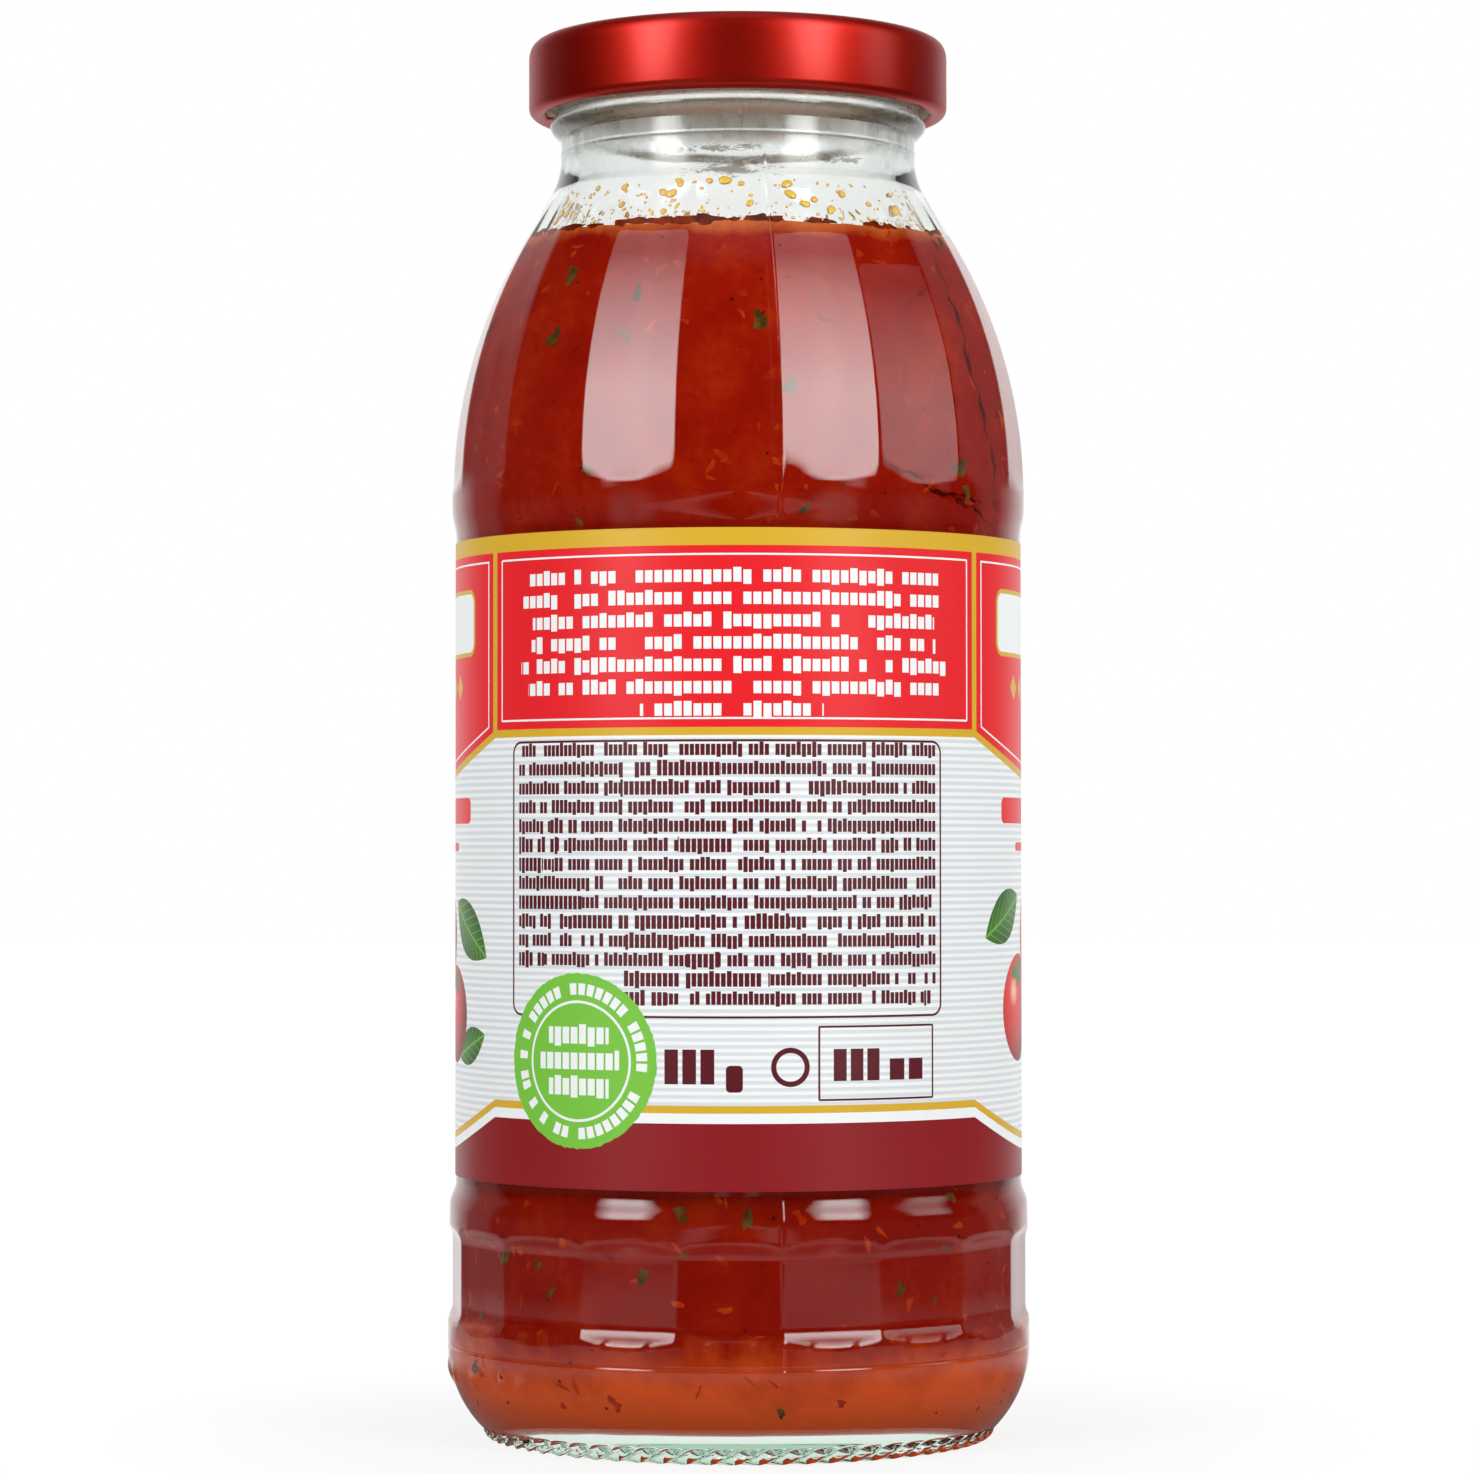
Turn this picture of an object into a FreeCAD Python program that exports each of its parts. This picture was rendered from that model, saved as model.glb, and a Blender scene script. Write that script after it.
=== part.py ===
import FreeCAD, Part
import math
import os

# A jar of tomato sauce: a faceted glass jar with a lug finish, a steel lug cap with its
# sealing ring, a wrap-round paper label, and the sauce that fills the jar to its shoulder.
# Millimetres and degrees, +Z up, origin at the centre of the base. The label's front faces -Y,
# and angles round the jar are counted from the front, towards +X.

# ---- glass body, from the base up ----
body_r = 33.45           # glass under the label
wall_t = 2.85            # glass thickness of the body
heel_out = 0.97          # widest ring, where the base mould meets the body mould: past the body
heel_h = 11.2            # height of that ring
heel_arc = 14.0          # curve of the heel, seen in section
foot_round = 1.2         # rounded bead that the jar stands on
seat_w = 2.0             # flat that it stands on, inside the bead
pushup_h = 2.6           # rise of the hollow under the base
base_t = 3.6             # glass thickness of the base, at the centre
floor_arc = 7.5          # curve between the wall and the floor, inside

# ---- knurling round the foot ----
knurl_count = 66
knurl_w = 1.1            # width of one groove at the surface
knurl_depth = 0.5
knurl_length = 6.0       # run of the cutter, longer than the groove that it leaves
knurl_skew = 52.0        # from the upright direction, so that the bead looks like a rope

# ---- facets: one row below the label and one above it ----
facet_count = 18
facet_phase = 8.2        # from the front to the first facet edge on its right
fade_turn = 50.0         # turn of the curves that run each facet out into the round glass
low_facet_out = 0.55     # edges between the lower facets, past the body
low_facet_rise = 4.4     # from the heel's widest ring to the facets' full width
low_facet_h = 7.8
low_fade = 2.2           # radius of the lower facets' fading curves
ring_low_out = 0.75      # round ring between the lower facets and the label, past the body
ring_low_rise = 3.9      # from the lower facets up to that ring
up_facet_start = 1.8     # from the foot of the shoulder to the facets' full width
up_facet_straight = 0.8  # how far the facets follow the straight run of the shoulder
up_fade = 4.5            # radius of the upper facets' fading curves

# ---- paper label, in a recess between the two rings ----
paper_t = 0.1
label_rise = 3.7         # from the lower ring up to the label
label_h = 74.4
label_margin = 0.5       # glass left free at each edge of the label
label_lap = 14.0         # overlap at the glued end
lap_at = 126.0           # from the front to the glued end, out of sight

# ---- shoulder and neck ----
ring_up_out = 0.5        # round ring under the shoulder, past the body
ring_up_rise = 4.4       # from the label up to that ring
ring_up_h = 1.7          # plain height of the ring
shoulder_h = 39.8
shoulder_straight = 4.8  # straight run between the shoulder's two curves
bore_r = 18.9            # opening of the jar
neck_t = 2.15            # glass thickness of the neck
neck_arc = 8.9           # hollow curve where the shoulder meets the neck
neck_h = 2.45            # plain neck under the bead

# ---- finish: bead, lug threads and rim ----
finish_t = 2.6           # glass thickness of the wall that carries the threads
finish_h = 7.85          # from the top of the bead to the rim
bead_out = 1.05
bead_h = 2.65
rim_round = 0.9
thread_count = 4         # one for each lug of the cap
thread_out = 0.9
thread_w = 1.5           # height of one thread at its root
thread_span = 62.0       # share of the turn that one thread covers
thread_slope = 3.0
thread_phase = -26.0     # from the front to the low end of one thread

# ---- cap ----
sheet_t = 0.25
cap_round = 1.0          # rounded shoulder of the cap
curl_r = 1.1             # rolled lower edge
cap_gap = 0.26           # from the threads to the rolled edge
seal_t = 0.8             # sealing ring between the rim and the cap
seal_over = 0.3          # how far it reaches past the rim, each way
channel_gap = 0.24       # from the sealing ring to the step of the panel
panel_drop = 1.25        # panel below the cap's rim
panel_step = 1.0         # width of the slope between them
button_r = 9.0           # safety button in the middle, drawn down
button_drop = 0.35
button_step = 0.8
lug_w = 8.0
lug_t = 0.9
lug_gap = 0.25           # from a lug to the glass wall
lug_lift = 0.1           # from the bead up to a lug
lug_play = 0.1           # from a lug up to its thread
lug_cover = 0.2          # how far the rolled edge reaches below the lugs
lug_offset = 9.0         # from the low end of a thread to its lug

# ---- sauce ----
fill_drop = 10.2         # surface of the sauce below the neck

# ---- radii worked out from the sizes above ----
heel_r = body_r + heel_out
ring_low_r = body_r + ring_low_out
ring_up_r = body_r + ring_up_out
neck_r = bore_r + neck_t
finish_r = bore_r + finish_t
thread_r = finish_r + thread_out
cap_r = thread_r + cap_gap + 2 * curl_r
foot_r = heel_r - heel_arc + math.sqrt(heel_arc ** 2 - (heel_h - foot_round) ** 2) - foot_round
seat_in_r = foot_r - seat_w
pushup_arc = (seat_in_r ** 2 + pushup_h ** 2) / (2 * pushup_h)

# ---- heights worked out from the sizes above ----
low_facet_z = heel_h + low_facet_rise
ring_low_z = low_facet_z + low_facet_h + ring_low_rise
label_z = ring_low_z + label_rise
label_top = label_z + label_h
ring_up_z = label_top + ring_up_rise
shoulder_z = ring_up_z + ring_up_h
neck_z = shoulder_z + shoulder_h
bead_z = neck_z + neck_h
finish_z = bead_z + bead_h
rim_z = finish_z + finish_h
cap_top = rim_z + seal_t + sheet_t
lug_z = finish_z + lug_lift
curl_z = lug_z - lug_cover + curl_r
fill_z = neck_z - fill_drop

half_facet = math.radians(180.0 / facet_count)
ORIGIN = FreeCAD.Vector(0, 0, 0)
UP = FreeCAD.Vector(0, 0, 1)


def direction(degrees):
    """Unit (radius, height) pair at that angle in a section through the axis."""
    return math.cos(math.radians(degrees)), math.sin(math.radians(degrees))


class Outline:
    """A chain of edges in a section through the axis; every point is (radius, height)."""

    def __init__(self, r, z):
        self.edges = []
        self.start = (r, z)
        self.at = (r, z)

    def line(self, r, z):
        if math.dist(self.at, (r, z)) > 1e-6:
            ends = [FreeCAD.Vector(p[0], 0, p[1]) for p in (self.at, (r, z))]
            self.edges.append(Part.makeLine(*ends))
            self.at = (r, z)

    def through(self, middle, end):
        """A circular arc from the pen through middle to end."""
        points = [FreeCAD.Vector(p[0], 0, p[1]) for p in (self.at, middle, end)]
        self.edges.append(Part.Arc(*points).toShape())
        self.at = end

    def arc(self, centre, degrees):
        """An arc about centre from the pen, anticlockwise when degrees is positive."""
        radius = math.dist(self.at, centre)
        first = math.degrees(math.atan2(self.at[1] - centre[1], self.at[0] - centre[0]))
        steps = [direction(first + degrees * share) for share in (0.5, 1)]
        self.through(*[(centre[0] + radius * c, centre[1] + radius * s) for c, s in steps])

    def s_bend(self, r_end, z_end, straight=0.0, last_arc=None):
        """Two arcs joined by a straight run, upright at both ends; returns the first arc and the turn.

        The turn is twice the arctangent of the sideways shift over the rise plus the straight run.
        With no radius given for the last arc, the two arcs are alike.
        """
        side = 1 if self.at[0] > r_end else -1
        rise = z_end - self.at[1]
        turn = 2 * math.atan2(abs(self.at[0] - r_end), rise + straight)
        both = (rise - straight * math.cos(turn)) / math.sin(turn)
        last = both / 2 if last_arc is None else last_arc
        first = both - last
        self.arc((self.at[0] - side * first, self.at[1]), side * math.degrees(turn))
        self.line(self.at[0] - side * straight * math.sin(turn), self.at[1] + straight * math.cos(turn))
        self.arc((r_end + side * last, z_end), -side * math.degrees(turn))
        return first, turn

    def face(self):
        self.line(*self.start)
        return Part.Face(Part.Wire(self.edges))

    def turned(self, degrees=360.0):
        return self.face().revolve(ORIGIN, UP, degrees)


def at_angle(shape, degrees):
    """A copy of a shape drawn on the +X side, turned to that angle from the front."""
    copy = shape.copy()
    copy.rotate(ORIGIN, UP, degrees - 90.0)
    return copy


def round_the_axis(shape, count, first):
    return [at_angle(shape, first + 360.0 * i / count) for i in range(count)]


def glass_outside():
    """The round outside of the glass, and the shoulder's first arc and turn."""
    pen = Outline(0, pushup_h)
    pen.arc((0, pushup_h - pushup_arc), -math.degrees(math.asin(seat_in_r / pushup_arc)))
    pen.line(foot_r, 0)
    pen.arc((foot_r, foot_round), 90)
    pen.arc((heel_r - heel_arc, heel_h), math.degrees(math.asin((heel_h - foot_round) / heel_arc)))
    pen.line(ring_low_r, ring_low_z)
    pen.s_bend(body_r, label_z - label_margin)
    pen.line(body_r, label_top + label_margin)
    pen.s_bend(ring_up_r, ring_up_z)
    pen.line(ring_up_r, shoulder_z)
    shoulder = pen.s_bend(neck_r, neck_z, shoulder_straight, neck_arc)
    pen.line(neck_r, bead_z)
    pen.through((finish_r + bead_out, bead_z + bead_h / 2), (finish_r, finish_z))
    pen.line(finish_r, rim_z - rim_round)
    pen.arc((finish_r - rim_round, rim_z - rim_round), 90)
    pen.line(0, rim_z)
    return pen.turned(), shoulder


def glass_inside():
    """The hollow of the jar, from the domed floor to above the rim."""
    wall_r = body_r - wall_t
    floor_r = wall_r - floor_arc
    dome = pushup_arc + base_t
    pen = Outline(0, pushup_h + base_t)
    pen.arc((0, pushup_h - pushup_arc), -math.degrees(math.asin(floor_r / dome)))
    pen.arc((floor_r, pen.at[1] + floor_arc), 90)
    pen.line(wall_r, shoulder_z)
    pen.s_bend(bore_r, neck_z, shoulder_straight, neck_arc)
    pen.line(bore_r, rim_z - rim_round)
    pen.arc((bore_r + rim_round, rim_z - rim_round), -90)
    pen.line(pen.at[0], rim_z + 1)
    pen.line(0, rim_z + 1)
    return pen.turned()


def slab(pen, outer_r):
    """A flat-sided cutter: the pen's curve closed on the outside and run along the tangent."""
    half_w = outer_r * math.tan(half_facet) + 1
    last = pen.at
    pen.line(outer_r, last[1])
    pen.line(outer_r, pen.start[1])
    return pen.face().extrude(FreeCAD.Vector(0, 2 * half_w, 0)).translated(FreeCAD.Vector(0, -half_w, 0))


def fade_in(r, z, radius, lean):
    """Start a cutter outside the glass and curve in to (r, z), where the face leans by that angle."""
    out = direction(lean)
    centre = (r + radius * out[0], z + radius * out[1])
    first = direction(180 + lean + fade_turn)
    pen = Outline(centre[0] + radius * first[0], centre[1] + radius * first[1])
    pen.arc(centre, -fade_turn)
    return pen


def fade_out(pen, radius, lean):
    out = direction(lean)
    pen.arc((pen.at[0] + radius * out[0], pen.at[1] + radius * out[1]), -lean - fade_turn)


def low_facet():
    """Cutter of one lower facet: an upright flat with an arched end above and below."""
    flat_r = (body_r + low_facet_out) * math.cos(half_facet)
    pen = fade_in(flat_r, low_facet_z, low_fade, 0)
    pen.line(flat_r, low_facet_z + low_facet_h)
    fade_out(pen, low_fade, 0)
    return slab(pen, heel_r + low_fade)


def up_facet(first_arc, turn):
    """Cutter of one shoulder facet: it follows the shoulder's curve, narrowed so that edges meet."""
    narrow = math.cos(half_facet)
    arc_r = first_arc / narrow
    centre = (ring_up_r * narrow - arc_r, shoulder_z)
    start = math.degrees(math.asin(up_facet_start / arc_r))
    end = math.degrees(math.atan(narrow * math.tan(turn)))
    begin = direction(start)
    pen = fade_in(centre[0] + arc_r * begin[0], centre[1] + arc_r * begin[1], up_fade, start)
    pen.arc(centre, end - start)
    run = direction(end + 90)
    pen.line(pen.at[0] + up_facet_straight * run[0], pen.at[1] + up_facet_straight * run[1])
    fade_out(pen, up_fade, end)
    return slab(pen, ring_up_r + up_fade)


def knurl():
    """Cutter of one groove: a three-sided bar laid skew across the foot's outer corner."""
    corner = direction(-45)
    out = FreeCAD.Vector(corner[0], 0, corner[1])
    at = FreeCAD.Vector(foot_r, 0, foot_round) + out * foot_round
    skew = math.radians(knurl_skew)
    along = FreeCAD.Vector(-corner[1] * math.cos(skew), math.sin(skew), corner[0] * math.cos(skew))
    across = out.cross(along)
    tip = at - out * knurl_depth - along * (knurl_length / 2)
    sides = [tip + out * (2 * knurl_depth) + across * (side * knurl_w) for side in (-1, 1)]
    bar = Part.Face(Part.makePolygon([tip, *sides, tip]))
    return bar.extrude(along * knurl_length)


def thread():
    """One lug thread on the finish: a tapered rib, tilted so that it climbs to the right.

    Its low end clears the top of the lug that holds it, so the middle stands higher by the tilt.
    """
    climb = finish_r * math.sin(math.radians(thread_span / 2)) * math.sin(math.radians(thread_slope))
    middle = lug_z + lug_t + lug_play + thread_w / 2 + climb
    pen = Outline(finish_r - 0.3, middle - thread_w / 2)
    pen.line(thread_r, middle - thread_w / 4)
    pen.line(thread_r, middle + thread_w / 4)
    pen.line(finish_r - 0.3, middle + thread_w / 2)
    rib = pen.turned(thread_span)
    rib.rotate(ORIGIN, UP, -thread_span / 2)
    rib.rotate(FreeCAD.Vector(0, 0, middle), FreeCAD.Vector(1, 0, 0), thread_slope)
    return rib


def make_jar():
    outside, (first_arc, turn) = glass_outside()
    facet_centre = facet_phase - math.degrees(half_facet)
    cutters = round_the_axis(low_facet(), facet_count, facet_centre)
    cutters += round_the_axis(up_facet(first_arc, turn), facet_count, facet_centre)
    cutters += round_the_axis(knurl(), knurl_count, 0)
    threads = round_the_axis(thread(), thread_count, thread_phase + thread_span / 2)
    return outside.cut(cutters).fuse(threads).cut(glass_inside())


def make_sauce():
    """The sauce fills the hollow of the jar up to its surface."""
    below = Part.makeCylinder(body_r, fill_z)
    return glass_inside().common(below)


def make_label():
    """A strip of paper round the body, one end glued over the other."""
    sheet = Outline(body_r, label_z)
    sheet.line(body_r + paper_t, label_z)
    sheet.line(body_r + paper_t, label_top)
    sheet.line(body_r, label_top)
    lap = Outline(body_r + paper_t, label_z)
    lap.line(body_r + 2 * paper_t, label_z)
    lap.line(body_r + 2 * paper_t, label_top)
    lap.line(body_r + paper_t, label_top)
    return sheet.turned().fuse(at_angle(lap.turned(label_lap), lap_at))


def cap_surface(depth):
    """The cap's outside, or its inside at the sheet's thickness below, closed down to the curl."""
    button_lean = depth * math.tan(math.atan2(button_drop, button_step) / 2)
    panel_lean = depth * math.tan(math.atan2(panel_drop, panel_step) / 2)
    panel_z = cap_top - panel_drop
    rim_in_r = bore_r - seal_over - channel_gap
    skirt_r = cap_r - depth
    edge = cap_round - depth
    pen = Outline(0, curl_z)
    pen.line(skirt_r, curl_z)
    pen.line(skirt_r, cap_top - cap_round)
    pen.arc((skirt_r - edge, cap_top - cap_round), 90)
    pen.line(rim_in_r + panel_lean, cap_top - depth)
    pen.line(rim_in_r - panel_step + panel_lean, panel_z - depth)
    pen.line(button_r + button_lean, panel_z - depth)
    pen.line(button_r - button_step + button_lean, panel_z - button_drop - depth)
    pen.line(0, panel_z - button_drop - depth)
    return pen.turned()


def make_cap():
    """A pressed cap: raised rim, sunk panel with its button, rolled edge and four lugs."""
    centre = (cap_r - curl_r, curl_z)
    curl = Outline(cap_r, curl_z)
    curl.arc(centre, -270)
    curl.line(centre[0], curl_z + curl_r - sheet_t)
    curl.arc(centre, 270)
    lug_span = math.degrees(lug_w / finish_r)
    lug = Outline(finish_r + lug_gap, lug_z)
    lug.line(centre[0], lug_z)
    lug.line(centre[0], lug_z + lug_t)
    lug.line(finish_r + lug_gap, lug_z + lug_t)
    lugs = round_the_axis(lug.turned(lug_span), thread_count, thread_phase + lug_offset - lug_span / 2)
    shell = cap_surface(0).cut(cap_surface(sheet_t))
    return shell.fuse([curl.turned(), *lugs])


def make_seal():
    """The ring of sealing compound, pressed between the glass rim and the cap."""
    ring = Outline(bore_r - seal_over, rim_z)
    ring.line(finish_r + seal_over, rim_z)
    ring.line(finish_r + seal_over, rim_z + seal_t)
    ring.line(bore_r - seal_over, rim_z + seal_t)
    return ring.turned()


os.makedirs("parts", exist_ok=True)
pieces = {
    "jar": make_jar(),
    "sauce": make_sauce(),
    "label": make_label(),
    "cap": make_cap(),
    "seal": make_seal(),
}
for name, shape in pieces.items():
    solid = shape.removeSplitter()
    print(name, "solids", len(solid.Solids), "ml", round(solid.Volume / 1000, 2), "valid", solid.isValid())
    solid.exportStep("parts/" + name + ".step")
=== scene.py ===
import bpy
import numpy as np
from mathutils import Euler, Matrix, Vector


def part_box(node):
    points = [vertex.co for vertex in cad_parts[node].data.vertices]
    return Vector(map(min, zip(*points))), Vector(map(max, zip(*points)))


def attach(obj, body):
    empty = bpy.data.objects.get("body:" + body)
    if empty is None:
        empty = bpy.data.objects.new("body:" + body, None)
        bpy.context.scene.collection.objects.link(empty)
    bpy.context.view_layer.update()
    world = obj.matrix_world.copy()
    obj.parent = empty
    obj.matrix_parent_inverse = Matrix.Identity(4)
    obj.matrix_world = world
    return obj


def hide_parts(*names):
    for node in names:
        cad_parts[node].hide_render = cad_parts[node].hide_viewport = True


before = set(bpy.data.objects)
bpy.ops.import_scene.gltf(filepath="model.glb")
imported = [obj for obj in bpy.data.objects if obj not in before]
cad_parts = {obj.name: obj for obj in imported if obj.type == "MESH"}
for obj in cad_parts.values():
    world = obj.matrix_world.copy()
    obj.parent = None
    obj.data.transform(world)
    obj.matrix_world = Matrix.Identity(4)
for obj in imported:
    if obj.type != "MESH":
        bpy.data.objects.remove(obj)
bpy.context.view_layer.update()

# ======== the glass jar ========
# A pressed and blown jar of clear soda-lime glass: two rows of eighteen facets with arched ends,
# a foot knurled like a rope, and a lug finish. It is one piece, 2 to 3 mm thick, closed at the rim.
MM = 0.001
ROUND = 396              # columns of the outer surface: 22 for a facet, 6 for a strand of the foot
INNER_ROUND = ROUND // 2
FACETS = 18
STRANDS = 66
FACET_EDGE = 8.2         # from the front to the first facet edge on its right, in degrees

heel_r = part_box("jar")[1].x / MM
body_r = heel_r - 0.97
inner_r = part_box("sauce")[1].x / MM
rim_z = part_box("seal")[0].z / MM
floor_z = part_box("sauce")[0].z / MM
fill_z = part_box("sauce")[1].z / MM
label_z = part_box("label")[0].z / MM
label_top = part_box("label")[1].z / MM

heel_z = 11.2            # widest ring, where the base mould meets the body mould
heel_arc = 14.0          # radius of the side between the foot and the widest ring
foot_round = 1.2
foot_r = heel_r - heel_arc + np.sqrt(heel_arc ** 2 - (heel_z - foot_round) ** 2) - foot_round
seat_r = foot_r - 2.0
hollow_h = 2.6           # rise of the hollow under the base
floor_round = 7.5        # inside corner between the wall and the floor
floor_dome = 1.8         # rise of the floor in its middle
ring_low = (body_r + 0.75, label_z - 3.7)
ring_up = (body_r + 0.5, label_top + 4.4)
shoulder_z = ring_up[1] + 1.7
neck = (21.05, shoulder_z + 39.8)
bore_r = 18.9
shoulder_straight = 4.8  # straight run between the shoulder's bend and the neck's
neck_arc = 8.9
bead_z = neck[1] + 2.45
finish_r = 21.5
finish_z = bead_z + 2.65
bead_r = finish_r + 1.05
rim_round = 0.9

low_facet = (heel_z + 4.4, heel_z + 12.2)   # flat part of a facet of the lower row
low_runout = 2.2         # radius with which a lower facet runs out at each end
up_runout = 4.5
thread_turn = -26.0      # where a lug thread starts, from the front
thread_low = 2.3         # its height there, above the foot of the finish
thread_rise = 1.767      # how far it climbs in its quarter turn
thread_half = 0.85
thread_out = 0.9
strand = 1.9             # half the length of a groove of the foot
strand_lean = 52.0       # from the upright, so that the foot looks like a rope
strand_depth = 0.8
neck_seam = -1.8         # from the front; the body's seam is on a facet's edge
marks = (-85, -76, -64, -52.5, -47)         # raised ovals above the foot, in degrees from the front


def line(start, end, count):
    """Points from start to end, without the first: start plus equal shares of the difference."""
    share = np.linspace(0, 1, count + 1)[1:, None]
    return (1 - share) * np.array(start) + share * np.array(end)


def arc(centre, radius, first, last, count):
    """Points on a circle between two angles, without the first: centre plus radius times (cos, sin)."""
    angle = np.radians(np.linspace(first, last, count + 1)[1:])
    return np.stack([centre[0] + radius * np.cos(angle), centre[1] + radius * np.sin(angle)], axis=1)


def bend_turn(shift, rise, straight, last_arc):
    """Turn and first arc of a bend that is upright at both ends. The turn is twice the arctangent of the
    shift over the sum of the rise and the straight run."""
    turn = 2 * np.arctan2(shift, rise + straight)
    both = (rise - straight * np.cos(turn)) / np.sin(turn)
    return turn, both - (both / 2 if last_arc is None else last_arc)


def s_bend(start, end, straight, last_arc, count):
    """Two arcs joined by a straight run, from start up to end, without the first point: each arc is its
    centre plus or minus its radius times (cos, sin). With no straight run, the point that the arcs share
    comes twice."""
    side = 1 if start[0] > end[0] else -1
    rise = end[1] - start[1]
    turn, first = bend_turn(abs(start[0] - end[0]), rise, straight, last_arc)
    last = (rise - straight * np.cos(turn)) / np.sin(turn) - first
    lower = np.linspace(0, turn, count + 1)[1:]
    upper = np.linspace(turn, 0, count + 1)
    below = [start[0] - side * first * (1 - np.cos(lower)), start[1] + first * np.sin(lower)]
    above = [end[0] + side * last * (1 - np.cos(upper)), end[1] - last * np.sin(upper)]
    return np.concatenate([np.stack(below, axis=1), np.stack(above, axis=1)])


def glass_outside():
    """Section of the outer surface from the centre of the base up to the rim, as (radius, height)."""
    bare = np.linspace(0.06, 1, 9)[:, None]
    hollow = np.concatenate([bare * seat_r, hollow_h * (1 - bare ** 2)], axis=1)
    foot_end = -np.degrees(np.arcsin((heel_z - foot_round) / heel_arc))
    heel_in = (heel_r - heel_arc, heel_z)
    parts = [
        hollow,
        line((seat_r, 0), (foot_r, 0), 6),
        arc((foot_r, foot_round), foot_round, -90, 0, 10),
        arc(heel_in, heel_arc, foot_end, foot_end + 6, 8),
        arc(heel_in, heel_arc, foot_end + 6, -1.6, 16),
        arc(heel_in, heel_arc, -1.6, 0, 4),
        line((heel_r, heel_z), (heel_r - 0.01, heel_z + 0.4), 4),
        line((heel_r - 0.01, heel_z + 0.4), ring_low, 34),
        s_bend(ring_low, (body_r, label_z - 0.5), 0, None, 5),
        line((body_r, label_z - 0.5), (body_r, label_top + 0.5), 4),
        s_bend((body_r, label_top + 0.5), ring_up, 0, None, 5),
        line(ring_up, (ring_up[0], shoulder_z), 4),
        s_bend((ring_up[0], shoulder_z), neck, shoulder_straight, neck_arc, 24),
        line(neck, (neck[0], neck[1] + 1.0), 8),
        line((neck[0], neck[1] + 1.0), (neck[0], bead_z), 2),
    ]
    share = np.linspace(0, 1, 11)[1:]
    bulge = (bead_r - finish_r) * np.sin(np.pi * share) ** 0.8
    bead = [neck[0] + (finish_r - neck[0]) * share + bulge, bead_z + (finish_z - bead_z) * share]
    parts += [
        np.stack(bead, axis=1),
        line((finish_r, finish_z), (finish_r, rim_z - rim_round), 18),
        arc((finish_r - rim_round, rim_z - rim_round), rim_round, 0, 90, 5),
        line((finish_r - rim_round, rim_z), (bore_r + rim_round, rim_z), 2),
    ]
    return np.concatenate(parts)


def glass_inside(count):
    """Section of the inner surface from the bore down to the centre of the floor, as (radius, height)."""
    floor_r = inner_r - floor_round
    corner_z = floor_z + floor_round
    wall = s_bend((inner_r, shoulder_z), (bore_r, neck[1]), shoulder_straight, neck_arc, count)[::-1]
    share = np.linspace(1, 0.04, 8)[1:]
    return np.concatenate([
        arc((bore_r + rim_round, rim_z - rim_round), rim_round, 90, 180, 4),
        line((bore_r, rim_z - rim_round), (bore_r, neck[1]), 4),
        wall[1:],
        line((inner_r, shoulder_z), (inner_r, corner_z), 8),
        arc((floor_r, corner_z), floor_round, 0, -90, 8),
        np.stack([floor_r * share, floor_z + floor_dome * (1 - share ** 2)], axis=1),
    ])


def facet_section(z):
    """How far the flat of a facet lies from the axis at height z, far outside where there is no facet."""
    half = np.radians(180 / FACETS)
    low_r = (body_r + 0.55) * np.cos(half)
    low = np.concatenate([
        arc((low_r + low_runout, low_facet[0]), low_runout, 250, 180, 12),
        line((low_r, low_facet[0]), (low_r, low_facet[1]), 2),
        arc((low_r + low_runout, low_facet[1]), low_runout, 180, 110, 12),
    ])
    turn, first = bend_turn(ring_up[0] - neck[0], neck[1] - shoulder_z, shoulder_straight, neck_arc)
    bow = first / np.cos(half)
    middle = np.array([ring_up[0] * np.cos(half) - bow, shoulder_z])
    start = np.degrees(np.arcsin(1.8 / bow))
    end = np.degrees(np.arctan(np.cos(half) * np.tan(turn)))
    lean = [np.array([np.cos(np.radians(a)), np.sin(np.radians(a))]) for a in (start, end, end + 90)]
    tip = middle + bow * lean[1] + 0.8 * lean[2]
    up = np.concatenate([
        arc(middle + (bow + up_runout) * lean[0], up_runout, 250 + start, 180 + start, 12),
        arc(middle, bow, start, end, 24),
        arc(tip + up_runout * lean[1], up_runout, 180 + end, 130, 14),
    ])
    far = 2 * heel_r
    flat = np.interp(z, low[:, 1], low[:, 0], left=far, right=far)
    return np.minimum(flat, np.interp(z, up[:, 1], up[:, 0], left=far, right=far))


def soft_min(a, b, blend):
    """The smaller of two distances, eased over blend where they are alike."""
    share = np.clip(0.5 + 0.5 * (b - a) / blend, 0, 1)
    return b * (1 - share) + a * share - blend * share * (1 - share)


def thread_height(turn, z):
    """How far the four lug threads stand out: each is a rib with a round section, a square root of its
    height times its fall, that climbs as it goes round and starts with a taper."""
    along = (np.degrees(turn) - thread_turn + 45) % 90 - 45
    middle = finish_z + thread_low + thread_rise * along / 90
    across = np.clip(1 - np.abs(z - middle) / thread_half, 0, 1)
    start = np.clip(along / 4, 0, 1)
    return thread_out * np.sqrt(across * (2 - across)) * start


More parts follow.
